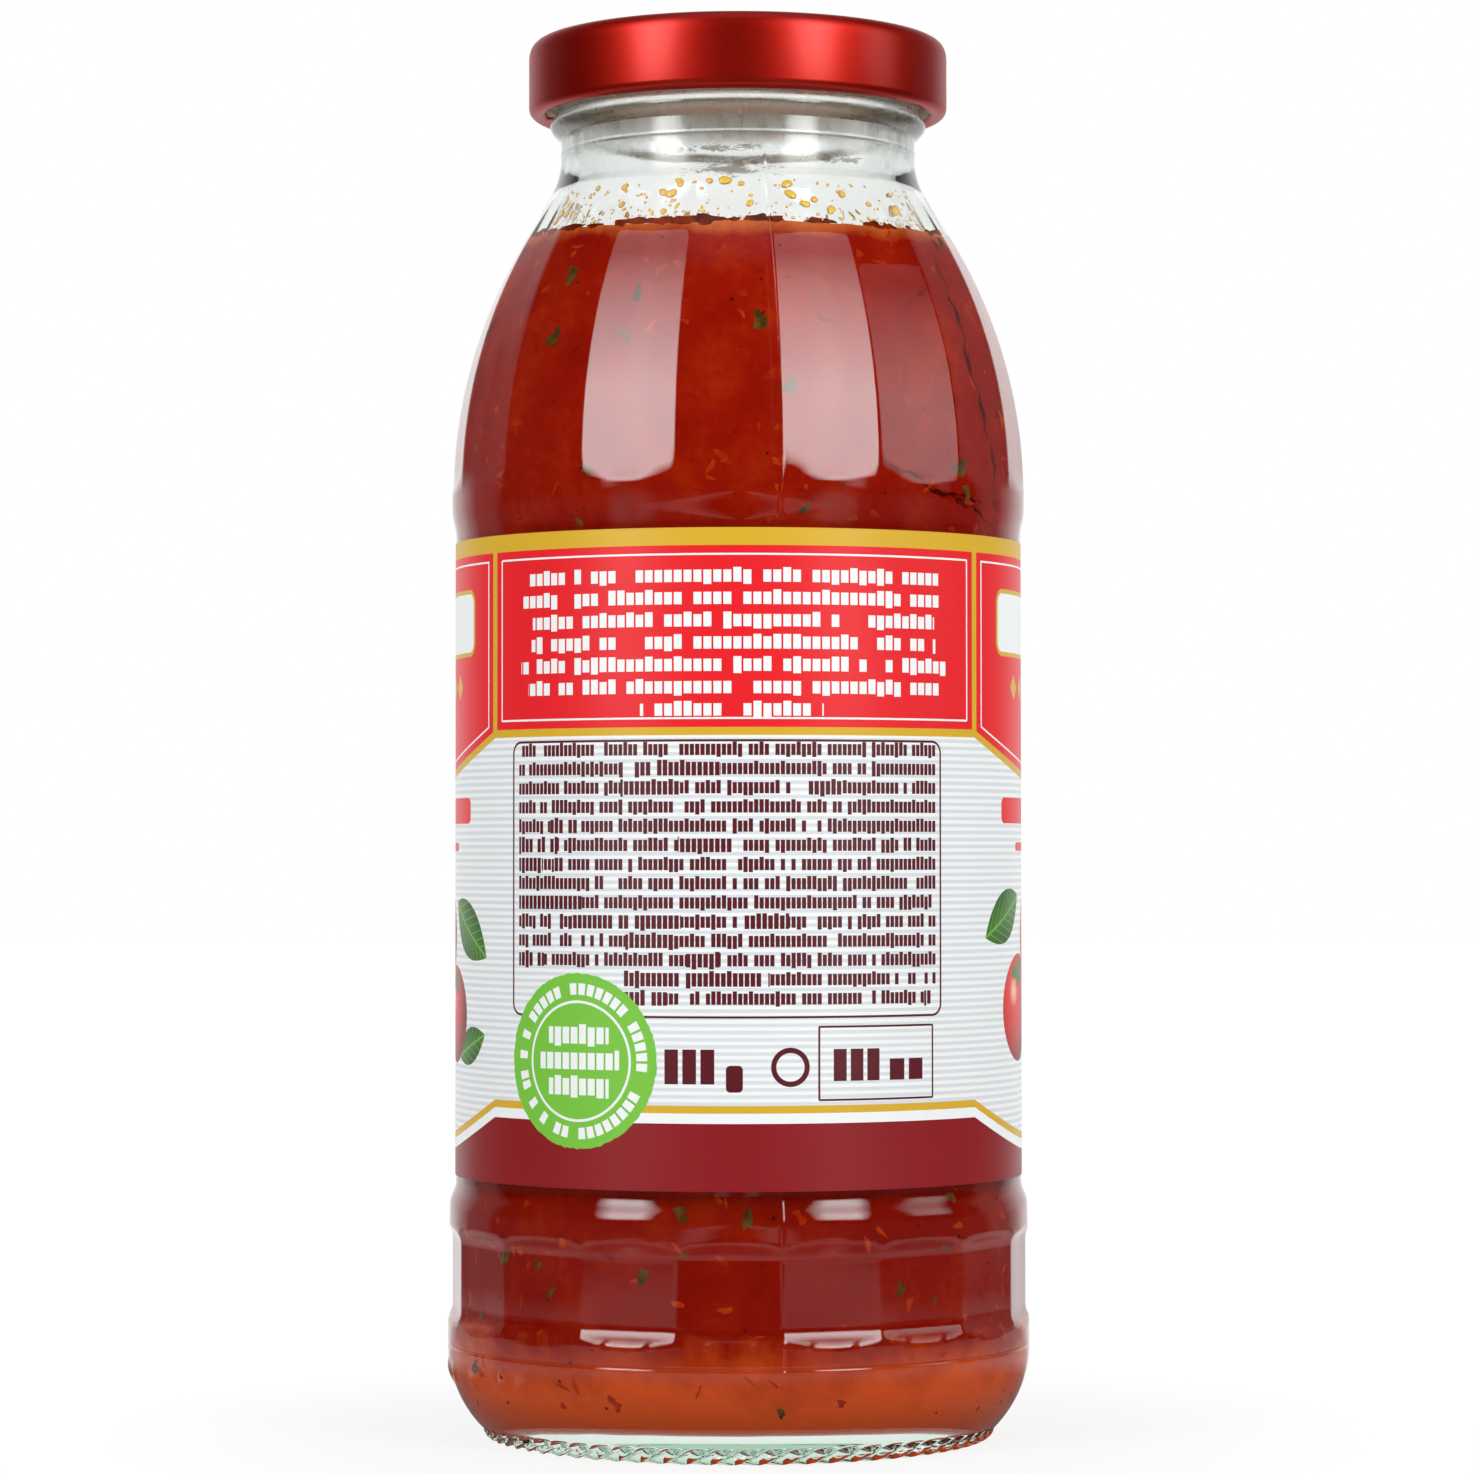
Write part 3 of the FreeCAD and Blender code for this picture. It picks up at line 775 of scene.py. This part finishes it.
def smeared(middle, half):
    """How near a place is to a smear's middle: 1 there, 0 on an ellipse with these half sizes. The middle's
    height is measured from the foot of the neck."""
    x, z = (across - middle[0]) / half[0], (height - (neck[1] + middle[1])) / half[1]
    return 1 - x * x - z * z


near = smeared((-0.5, -4.0), (6.5, 1.7)) | smeared((-3.0, -1.3), (9.0, 0.8))
near = near | smeared((11.0, -2.3), (3.5, 0.8))
smear = shade.node("MapRange", {0: 0.45 * near + 2.6 * (streak - 0.5), 1: 0.22, 2: 0.42, 3: 0.0, 4: 1.0})
smear = smear * front * (near > -0.4)
body = shade.node("BsdfPrincipled", {
    "Base Color": smear.mix(paint(250, 252, 251), paint(112, 98, 84)), "Roughness": 0.5,
    "Alpha": onset * (0.02 + 0.08 * streak) * (1 - smear) + 0.75 * smear, "Specular IOR Level": 0.0,
})
finish_material(haze, body, output, film)
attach(film, "root")

# ======== the label ========
# Coated paper printed in red, gold and maroon, wrapped round the body and glued where its ends
# overlap. Two information panels face front and back, with picture faces between them. Places on
# it are in millimetres, from the middle of the front panel and from its lower edge.
paper_t = 0.1
paper_gap = 0.005        # left between the glass and the paper, and off its outer face
label_h = label_top - label_z
LABEL_TURN = -1.3        # the middle of the front panel, from the front
LAP_START, LAP = 126.0, 14.0
LAP_RAMP = 3.0           # turn over which the outer end climbs on to the inner one
HALF = np.pi * body_r    # from the middle of one information panel to the next
PANEL = 32.2             # half the width of an information panel
FACE = HALF / 2 - PANEL  # half the width of a picture face
LABEL_COLUMNS = 375


def label_strip(count):
    """A closed strip: the four corners of the paper's section carried round, and lifted by its thickness
    where it overlaps. Returns its points and their places on the print."""
    turn = np.linspace(LAP_START, LAP_START + 360 + LAP, count)
    lift = paper_t * np.clip((turn - LAP_START - 360 + LAP_RAMP) / LAP_RAMP, 0, 1)
    corners = np.array([[0, 0], [1, 0], [1, 1], [0, 1]])
    r = body_r + paper_gap + lift[None, :] + corners[:, :1] * (paper_t - 2 * paper_gap)
    z = label_z + corners[:, 1:] * label_h + 0 * turn
    angle = np.radians(turn)
    points = np.stack([r * np.sin(angle), -r * np.cos(angle), z], axis=2)
    along = body_r * np.radians(turn - LABEL_TURN - 360)
    print_place = np.stack([along + 0 * r, z - label_z, corners[:, :1] + 0 * r], axis=2)
    return points, print_place


points, print_place = label_strip(LABEL_COLUMNS)
label = new_piece("paper_label", points.reshape(-1, 3), strip_faces(LABEL_COLUMNS))
printed = label.data.attributes.new("print_place", "FLOAT_VECTOR", "POINT")
printed.data.foreach_set("vector", print_place.astype(np.float32).ravel())

paper, shade, output = new_material("printed_paper")
place = shade.node("Attribute", attribute_name="print_place", out=1)
u = shade.node("SeparateXYZ", {0: place})
v, outward = u.part(1), u.part(2)
WHITE, STRIPE = paint(240, 243, 243), paint(216, 221, 224)
RED, MAROON, INK = paint(232, 24, 34), paint(140, 16, 24), paint(92, 18, 30)
GOLD, GREEN = paint(216, 172, 40), paint(120, 196, 62)

panel = (u + HALF / 2) % HALF - HALF / 2       # along the information panels, 0 in their middle
face = u % HALF - HALF / 2                     # along the picture faces, 0 in their middle
beside = abs(panel)
arch = (1 - (face / FACE) * (face / FACE)) | 0
on_face = 1 - (beside < PANEL)


def outline(distance, thick):
    """A line along the edge of a shape, given the distance from that edge."""
    return abs(distance) < thick / 2


def plaque(x, y, centre, half, corner):
    """Distance past the edge of a rounded rectangle, negative inside: the length of what lies past the
    inner corner each way, or the larger shortfall inside, less the corner's radius."""
    right = abs(x - centre[0]) - (half[0] - corner)
    up = abs(y - centre[1]) - (half[1] - corner)
    past_right, past_up = right | 0, up | 0
    return shade.math("SQRT", past_right * past_right + past_up * past_up) + ((right | up) & 0) - corner


def greeked(x, y, top, pitch, letter, thick, gaps):
    """Rows of bars where words would stand. A row is cut into cells as wide as a letter, some of which are
    left out while others rise or drop a little. Returns the mask and the number of the row."""
    down = (top - y) / pitch
    row = down.floor()
    inside = down - row
    cell = (x / letter).floor()
    seed = shade.node("CombineXYZ", {0: cell, 1: row})
    chance = shade.node("TexWhiteNoise", {"Vector": seed}, noise_dimensions="2D")
    rise = 0.11 * (chance > 0.72) * (1 - (chance > 0.93)) + 0.05
    drop = 0.10 * (chance > 0.90) + 0.04
    stroke = (x / letter - cell) > 0.2
    body = (inside > 0.5 - thick / 2 - rise) * (inside < 0.5 + thick / 2 + drop)
    return body * (chance > gaps) * stroke, row


# white ground with its fine stripes, the maroon foot band and the gold line above it
colour = ((v % 0.8) < 0.4).mix(WHITE, STRIPE)
foot_line = 9.6 - 4.6 * arch
colour = (v < foot_line - 0.9).mix(colour, WHITE)
colour = (v < foot_line - 2.0).mix(colour, MAROON)
colour = v.within(foot_line - 0.85, foot_line).mix(colour, GOLD)

# red field with its gold edge; it dips on the picture faces
field = 52.0 - 4.6 * arch
colour = (v > field - 0.9).mix(colour, GOLD)
colour = (v > field).mix(colour, RED)
colour = (beside.within(31.75, 32.65) * (v > field)).mix(colour, GOLD)
white_line = outline(plaque(panel, v, (0, 62.2), (30.7, 9.2), 0.1), 0.22)
face_line = on_face * (v > field + 0.9) * (v < 71.5) * (abs(face) < FACE - 1.4)
face_core = (v > field + 1.12) * (v < 71.28) * (abs(face) < FACE - 1.62)
colour = (white_line | (face_line * (1 - face_core))).mix(colour, WHITE)
colour = (v > label_h - 2.0).mix(colour, GOLD)

# information panels: white bars on the red, maroon bars in a frame on the white
words, row = greeked(panel, v, 70.2, 2.5, 1.12, 0.46, 0.16)
ragged = shade.node("TexWhiteNoise", {"W": row}, noise_dimensions="1D")
reach = 27.0 - 2.2 * ragged - 14.5 * (row > 5.5)
words = words * (beside < reach) * row.within(-0.5, 6.5)
colour = words.mix(colour, WHITE)
frame_line = outline(plaque(panel, v, (-1.2, 35.0), (27.2, 15.5), 1.3), 0.26)
small, row = greeked(panel, v, 50.55, 2.15, 0.6, 0.5, 0.14)
bold, _ = greeked(panel, v, 50.55, 2.15, 0.66, 0.62, 0.12)
line_place = shade.node("CombineXYZ", {0: panel * 0.03, 1: row * 3.7})
heading = shade.node("TexNoise", {"Vector": line_place, "Scale": 1.0}) > 0.56
small = small * (1 - heading) | bold * heading
beside_roundel = (row < 11.5) | (panel > -12.5)
small = small * panel.within(-27.4, 25.2) * row.within(-0.5, 13.5) * beside_roundel
colour = (small | frame_line).mix(colour, INK)


def blocks(x, y, start, pitch, count, height):
    """A row of upright bars, a quarter of the pitch apart, on one foot line."""
    cell = (x - start) / pitch
    return (cell % 1.0 < 0.76) * cell.within(0.0, count) * y.within(0.0, height)


# plain blocks where the weight and the volume would stand
amount = blocks(panel, v - 12.0, -7.6, 2.05, 3, 3.9) | (plaque(panel, v, (0.3, 12.6), (0.95, 1.5), 0.5) < 0)
amount = amount | outline(plaque(panel, v, (6.6, 13.9), (1.9, 1.9), 1.9), 0.6)
amount = amount | outline(plaque(panel, v, (17.3, 14.3), (7.4, 4.1), 0.1), 0.24)
amount = amount | blocks(panel, v - 12.3, 11.6, 2.05, 3, 3.6) | blocks(panel, v - 12.3, 18.6, 2.6, 2, 2.4)
colour = amount.mix(colour, INK)

# a green roundel, with bars round its rim and across its middle
ROUNDEL = (-18.4, 14.4)
dx, dy = panel - ROUNDEL[0], v - ROUNDEL[1]
spread = shade.math("SQRT", dx * dx + dy * dy)
rough_edge = shade.node("TexNoise", {"Vector": place, "Scale": 1.6, "Detail": 3.0})
angle = shade.math("ARCTAN2", dy, dx)
turned_by = angle * 7.0
ticks = (turned_by % 1.0).within(0.12, 0.88)
seed = shade.node("TexWhiteNoise", {"W": turned_by.floor()}, noise_dimensions="1D")
ring_words = spread.within(7.5, 8.8) * ticks * (seed > 0.14)
bars, row = greeked(dx, dy, 4.35, 2.9, 1.15, 0.56, 0.0)
bars = bars * row.within(-0.5, 2.5) * (abs(dx) < 5.4 - 1.3 * abs(row - 1))
white_marks = ring_words | outline(spread - 6.7, 0.3) | bars
colour = (spread + rough_edge * 0.5 < 10.15).mix(colour, white_marks.mix(GREEN, WHITE))

# picture faces: a bare name plate with lozenges, a red bar, and tomatoes with basil leaves
plate = plaque(face, v, (0, 64.6), (14.6, 3.4), 1.2)
colour = ((plate < 0.5) * on_face).mix(colour, GOLD)
colour = ((plate < 0) * on_face).mix(colour, WHITE)
lozenge = abs((face + 2.2) % 4.4 - 2.2) + abs(v - 57.2)
colour = ((lozenge < 1.5) * (abs(face) < 11) * on_face).mix(colour, GOLD)
bar = (plaque(face, v, (0, 42.8), (13.6, 1.5), 0.8) < 0) | (plaque(face, v, (0, 38.6), (8.0, 0.5), 0.4) < 0)
colour = (bar * on_face).mix(colour, RED)


def tilted(centre, degrees):
    """Places along and across a line through a centre: x cos a + y sin a, and y cos a - x sin a."""
    c, s = float(np.cos(np.radians(degrees))), float(np.sin(np.radians(degrees)))
    x, y = face - centre[0], v - centre[1]
    return x * c + y * s, y * c - x * s


def leaf(below, centre, degrees, length, width):
    """A basil leaf: two arcs that meet in points, a pale midrib and side veins."""
    x, y = tilted(centre, degrees)
    blade = 1 - (x / length) * (x / length)
    across = abs(y) / width
    ribs = (abs(y) < 0.14) | (((x - abs(y) * 1.2 + 20) % 1.5) < 0.16)
    green = (across / 1.2 + 0.1).mix(paint(70, 130, 40), paint(34, 86, 30))
    green = (ribs * 0.6).mix(green, paint(150, 190, 100))
    return ((across < blade) * (abs(x) < length)).mix(below, green)


def tomato(below, centre, radius):
    """A ripe tomato: a disc, lighter at its upper left and dark round its edge, with a green star on top."""
    x, y = tilted(centre, 0)
    away = shade.math("SQRT", x * x + y * y * 1.1) / radius
    left, up = x + radius * 0.35, y - radius * 0.3
    near = shade.math("SQRT", left * left + up * up)
    lit = shade.node("MapRange", {0: near / radius, 1: 0.05, 2: 1.2, 3: 0.0, 4: 1.0})
    skin = shade.node("ValToRGB", {0: lit}, stops=[
        (0.0, paint(255, 190, 170)), (0.22, paint(228, 40, 26)),
        (0.7, paint(196, 16, 14)), (1.0, paint(130, 8, 10)),
    ])
    stalk = y - radius * 0.62
    turn = shade.math("ARCTAN2", stalk, x)
    out = shade.math("SQRT", x * x + stalk * stalk * 3.5) / radius
    star = out < 0.16 + 0.34 * abs(shade.math("SINE", turn * 2.5))
    return (away < 1).mix(below, star.mix(skin, paint(60, 124, 44)))


art = leaf(colour, (-12.5, 30.5), 24, 6.0, 2.9)
art = leaf(art, (12.8, 29.0), -30, 6.4, 3.0)
art = leaf(art, (13.5, 15.5), 18, 4.6, 2.1)
art = tomato(art, (0.8, 28.2), 5.4)
art = tomato(art, (-6.6, 19.8), 6.6)
art = tomato(art, (6.2, 19.0), 6.0)
colour = on_face.mix(colour, art)

# the back of the paper is bare
colour = (outward > 0.5).mix(paint(232, 230, 222), colour)

# paper fibres under the coating, and a slight cockle over the whole strip
fibre = shade.node("TexNoise", {"Vector": place, "Scale": 5.0, "Detail": 4.0})
cockle = shade.node("TexNoise", {"Vector": place, "Scale": 0.12, "Detail": 2.0})
relief = shade.node("Bump", {"Height": fibre * 0.15 + cockle, "Strength": 0.25, "Distance": 0.0003})
body = shade.node("BsdfPrincipled", {
    "Base Color": colour, "Roughness": 0.30 + 0.12 * fibre, "Normal": relief, "Specular IOR Level": 0.4,
})
finish_material(paper, body, output, label)
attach(label, "root")
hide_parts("label")

# ======== the cap ========
# Tinplate, a quarter of a millimetre thick: a raised rim round a sunk panel with a safety button, a
# rolled lower edge, and four lugs folded in from it. Red lacquer outside, pale lacquer inside.
cap_low, cap_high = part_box("cap")
cap_r = cap_high.x / MM
cap_top = cap_high.z / MM
curl_r = 1.1             # of the rolled edge
curl_z = cap_low.z / MM + curl_r
sheet = 0.25
rim_in = 18.36           # inner edge of the raised rim
panel_r = 17.36
panel_z = cap_top - 1.25
button = (9.0, 8.2)      # radii at the top and the foot of the button's edge
button_z = panel_z - 0.35
inner_lean = 0.14        # how much wider the inside's corners lie than the outside's
lug_half = 4.2           # half the width of a lug
lug_gap = 0.25           # between a lug and the glass
CAP_COLUMNS = 288
LUG_TURN = -17.0         # middle of the first lug, from the front


def eased(corners, radii, count):
    """A path whose corners are parabolas: (1-t)^2 A + 2t(1-t) C + t^2 B, where A and B lie a radius from
    the corner C."""
    corners = np.array(corners, float)
    path = [corners[:1]]
    t = np.linspace(0, 1, count)[:, None]
    for before, corner, after, radius in zip(corners, corners[1:], corners[2:], radii):
        a = corner + (before - corner) * radius / np.linalg.norm(before - corner)
        b = corner + (after - corner) * radius / np.linalg.norm(after - corner)
        path.append((1 - t) ** 2 * a + 2 * t * (1 - t) * corner + t ** 2 * b)
    return np.concatenate([*path, corners[-1:]])


def cap_section():
    """Outside from the middle of the button to the curl, round it, and back along the inside."""
    outer = [
        (0.3, button_z), (button[1], button_z), (button[0], panel_z), (panel_r, panel_z),
        (rim_in, cap_top), (cap_r, cap_top), (cap_r, curl_z),
    ]
    curl = arc((cap_r - curl_r, curl_z), curl_r, 0, -268, 26)
    inner = [
        (cap_r - sheet, cap_top - 6.6), (cap_r - sheet, cap_top - sheet),
        (rim_in + inner_lean, cap_top - sheet), (panel_r + inner_lean, panel_z - sheet),
        (button[0] + inner_lean, panel_z - sheet), (button[1] + inner_lean, button_z - sheet),
        (0.3, button_z - sheet),
    ]
    return eased(outer, (0.5, 0.5, 0.6, 0.9, 2.2), 8), curl, eased(inner, (2.0, 0.7, 0.5, 0.4, 0.4), 8)


outer, curl, inner = cap_section()
section = np.concatenate([outer, curl, inner])
cap_points = turned(section, CAP_COLUMNS)
turn = np.arctan2(cap_points[..., 0], -cap_points[..., 1])

# the lugs: the rolled edge is pressed in towards the glass, and flatter, over a short way in each quarter
off_lug = ((np.degrees(turn) - LUG_TURN + 45) % 90 - 45) * np.pi / 180 * finish_r
folded = np.clip(1 - (np.abs(off_lug) / lug_half) ** 4, 0, 1) ** 0.5
rolled = np.zeros(len(section))
rolled[len(outer):len(outer) + len(curl)] = np.clip((cap_r - curl_r - curl[:, 0]) / curl_r, 0, 1)
fold = folded * rolled[:, None]
radius = np.hypot(cap_points[..., 0], cap_points[..., 1]) - fold * (cap_r - 2 * curl_r - finish_r - lug_gap)
cap_points[..., 2] += fold * 0.6 * (curl_z - 0.35 - cap_points[..., 2])
cap_points[..., 0], cap_points[..., 1] = radius * np.sin(turn), -radius * np.cos(turn)
rows = len(section)
poles = [[0, 0, section[0, 1]], [0, 0, section[-1, 1]]]
cap_points = np.concatenate([cap_points.reshape(-1, 3), poles])
ring = np.arange(CAP_COLUMNS)
cap = new_piece("lug_cap", cap_points, [
    grid_faces(rows, CAP_COLUMNS)[:, ::-1],
    fan(rows * CAP_COLUMNS, ring),
    fan(rows * CAP_COLUMNS + 1, (rows - 1) * CAP_COLUMNS + ring, backwards=True),
], crease=60)

lacquer, shade, output = new_material("red_lacquer")
spot = shade.node("TexCoord", out=3)
flake = shade.node("TexNoise", {"Vector": spot, "Scale": 2500.0, "Detail": 2.0})
smudge = shade.node("TexNoise", {"Vector": spot, "Scale": 70.0, "Detail": 5.0, "Roughness": 0.65})
body = shade.node("BsdfPrincipled", {
    "Base Color": smudge.mix(paint(176, 18, 6), paint(198, 31, 12)), "Metallic": 0.92,
    "Roughness": 0.40 + 0.06 * smudge, "Coat Weight": 0.45, "Coat Roughness": 0.26,
    "Specular Tint": (0.55, 0.2, 0.16, 1.0),
    "Normal": shade.node("Bump", {"Height": flake, "Strength": 0.05, "Distance": 0.0002}),
})
finish_material(lacquer, body, output, cap)

# pale lacquer from half-way round the rolled edge inwards
pale, shade, output = new_material("pale_lacquer")
spot = shade.node("TexCoord", out=3)
wear = shade.node("TexNoise", {"Vector": spot, "Scale": 300.0, "Detail": 4.0})
body = shade.node("BsdfPrincipled", {
    "Base Color": wear.mix(paint(232, 226, 214), paint(206, 194, 168)), "Metallic": 0.1,
    "Roughness": 0.3 + 0.15 * wear,
})
pale.node_tree.links.new(body.socket, output.inputs["Surface"])
cap.data.materials.append(pale)
inside_from = (len(outer) + len(curl) // 2 + 1) * CAP_COLUMNS
slots = np.zeros(len(cap.data.polygons), np.int32)
slots[inside_from:rows * CAP_COLUMNS - CAP_COLUMNS] = 1
slots[-CAP_COLUMNS:] = 1
cap.data.polygons.foreach_set("material_index", slots)
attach(cap, "root")
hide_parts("cap")

# ======== the sealing ring ========
# Soft compound, poured into the cap's channel and pressed on to the rim of the glass. Only its edge
# shows, so the frame's own solid stays and gets its finish here.
compound, shade, output = new_material("sealing_compound")
spot = shade.node("TexCoord", out=3)
mottle = shade.node("TexNoise", {"Vector": spot, "Scale": 500.0, "Detail": 3.0})
body = shade.node("BsdfPrincipled", {
    "Base Color": mottle.mix(paint(222, 214, 200), paint(198, 186, 168)), "Roughness": 0.5 + 0.1 * mottle,
})
finish_material(compound, body, output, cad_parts["seal"])

# ======== the camera, the studio and the floor ========
# A long lens a little below the middle of the jar, two tall softboxes in front of it, one each
# side, a dimmer panel further round on the right, and a white world behind it over a white table.
TILT, ROLL = 1.333, 0.04
AIM_Z = 0.1              # height that the lamps face, in metres
camera = bpy.data.objects.new("camera", bpy.data.cameras.new("camera"))
bpy.context.scene.collection.objects.link(camera)
camera.data.sensor_width = 36.0
camera.data.lens = 118.75
camera.data.clip_start = 0.01
camera.location = (0, -577.7 * MM, 69.2 * MM)
camera.rotation_euler = (np.radians(90 + TILT), np.radians(ROLL), 0)
camera.data.shift_x = -0.0009
bpy.context.scene.camera = camera


def softbox(name, azimuth, elevation, distance, lean, width, tall, radiance):
    """An area lamp that faces the middle of the jar and leans about that line of sight. Its power is its
    radiance times pi times its area. It fades towards its top and at its edges."""
    lamp = bpy.data.lights.new(name, "AREA")
    lamp.shape = "RECTANGLE"
    lamp.size = width
    lamp.size_y = tall
    lamp.energy = radiance * np.pi * width * tall
    lamp.use_nodes = True
    lamp.node_tree.nodes.clear()
    shade = Shade(lamp.node_tree)
    place = shade.node("SeparateXYZ", {0: shade.node("NewGeometry", out=5)})
    across, up = abs(place - 0.5), place.part(1)
    sides = shade.node("MapRange", {0: across, 1: 0.24, 2: 0.5, 3: 1.0, 4: 0.0})
    fade = shade.node("MapRange", {0: up, 1: 0.35, 2: 0.9, 3: 1.0, 4: 0.15})
    fade = fade & shade.node("MapRange", {0: up, 1: 0.0, 2: 0.13, 3: 0.0, 4: 1.0})
    glow = shade.node("Emission", {"Color": (1, 1, 1, 1), "Strength": sides * fade})
    made = lamp.node_tree.nodes.new("ShaderNodeOutputLight")
    lamp.node_tree.links.new(glow.socket, made.inputs["Surface"])
    stand = bpy.data.objects.new(name, lamp)
    angle, rise = np.radians(azimuth), np.radians(elevation)
    flat = distance * np.cos(rise)
    stand.location = (flat * np.sin(angle), -flat * np.cos(angle), AIM_Z + distance * np.sin(rise))
    facing = Euler((np.pi / 2 - rise, 0, angle)).to_matrix() @ Euler((0, 0, np.radians(lean))).to_matrix()
    stand.rotation_euler = facing.to_euler()
    bpy.context.scene.collection.objects.link(stand)


softbox("softbox_left", -49, 32, 1.2, 10, 0.54, 1.25, 9.0)
softbox("softbox_right", 45, 32, 1.2, -10, 0.54, 1.25, 9.0)
softbox("side_panel_right", 84, 24, 1.3, -8, 0.6, 0.9, 2.2)


def studio_plane(name, corners):
    """One flat sheet through four corners."""
    return new_piece(name, np.array(corners, float), [np.array([[0, 1, 2, 3]])])


floor = studio_plane("floor", [(-3000, -3000, 0), (3000, -3000, 0), (3000, 3000, 0), (-3000, 3000, 0)])
white, shade, output = new_material("white_table")
spot = shade.node("TexCoord", out=3)
away = shade.node("VectorMath", {0: spot}, operation="LENGTH", out=1)
plain = shade.node("MapRange", {0: away, 1: 0.03, 2: 0.10, 3: 0.8, 4: 1.0}, interpolation_type="SMOOTHSTEP")
light = shade.node("LightPath")
across = shade.node("SeparateXYZ", {0: spot})
behind = across.part(1) / (away + 0.001)
back = shade.node("MapRange", {0: behind, 1: 0.58, 2: 0.85, 3: 0.0, 4: 1.0})
back = back | shade.node("MapRange", {0: behind, 1: 0.3, 2: 0.42, 3: 0.0, 4: 0.2})
beside_lens = shade.node("MapRange", {0: abs(across), 1: 0.05, 2: 0.12, 3: 0.0, 4: 0.5})
beside_lens = beside_lens * shade.node("MapRange", {0: abs(across), 1: 0.16, 2: 0.22, 3: 1.0, 4: 0.1})
close = shade.node("MapRange", {0: away, 1: 0.055, 2: 0.08, 3: 0.15, 4: 0.6})
close = close & shade.node("MapRange", {0: away, 1: 0.12, 2: 0.17, 3: 1.0, 4: 0.0})
under = away < 0.026
from_low = shade.node("MapRange", {0: light.part(7), 1: 0.13, 2: 0.18, 3: 1.0, 4: 0.2})
shaded = away < 0.0295
mirrored = light.part(3) * light.part(5)
through_glass = light.part(6) * (1 - 0.88 * shaded)
mirror_level = back | ((beside_lens | close) * from_low) | under
level = (light | through_glass) * 1.02 + mirrored * mirror_level
glow = shade.node("Emission", {"Color": (1, 1, 1, 1), "Strength": level})
matt = shade.node("BsdfDiffuse", {"Color": (0.8, 0.8, 0.8, 1)})
share = (light * plain) | light.part(6) | mirrored
finish_material(white, shade.node("MixShader", {0: share, 1: matt, 2: glow}), output, floor)

world = bpy.data.worlds.new("studio")
bpy.context.scene.world = world
world.use_nodes = True
world.node_tree.nodes.clear()
shade = Shade(world.node_tree)
light = shade.node("LightPath")
mirrored = light.part(3) * light.part(5)
way = shade.node("TexCoord", out=0)
behind = shade.node("SeparateXYZ", {0: way}, out=1)
mirror_level = shade.node("MapRange", {0: behind, 1: 0.58, 2: 0.85, 3: 0.0, 4: 1.0})
mirror_level = mirror_level | shade.node("MapRange", {0: behind, 1: 0.3, 2: 0.42, 3: 0.0, 4: 0.2})
overhead = shade.node("SeparateXYZ", {0: way}, out=2)
mirror_level = mirror_level | shade.node("MapRange", {0: overhead, 1: 0.8, 2: 0.95, 3: 0.0, 4: 0.5})
glass_level = shade.node("MapRange", {0: behind, 1: -0.6, 2: 0.0, 3: 0.75, 4: 1.0})
room_level = shade.node("MapRange", {0: behind, 1: -0.2, 2: 0.5, 3: 0.1, 4: 0.8})
level = light | (light.part(6) * glass_level) | (mirrored * mirror_level) | (light.part(2) * room_level)
sky = shade.node("Background", {0: (1, 1, 1, 1), 1: level})
out = world.node_tree.nodes.new("ShaderNodeOutputWorld")
world.node_tree.links.new(sky.socket, out.inputs[0])
bpy.context.scene.view_settings.view_transform = "Standard"
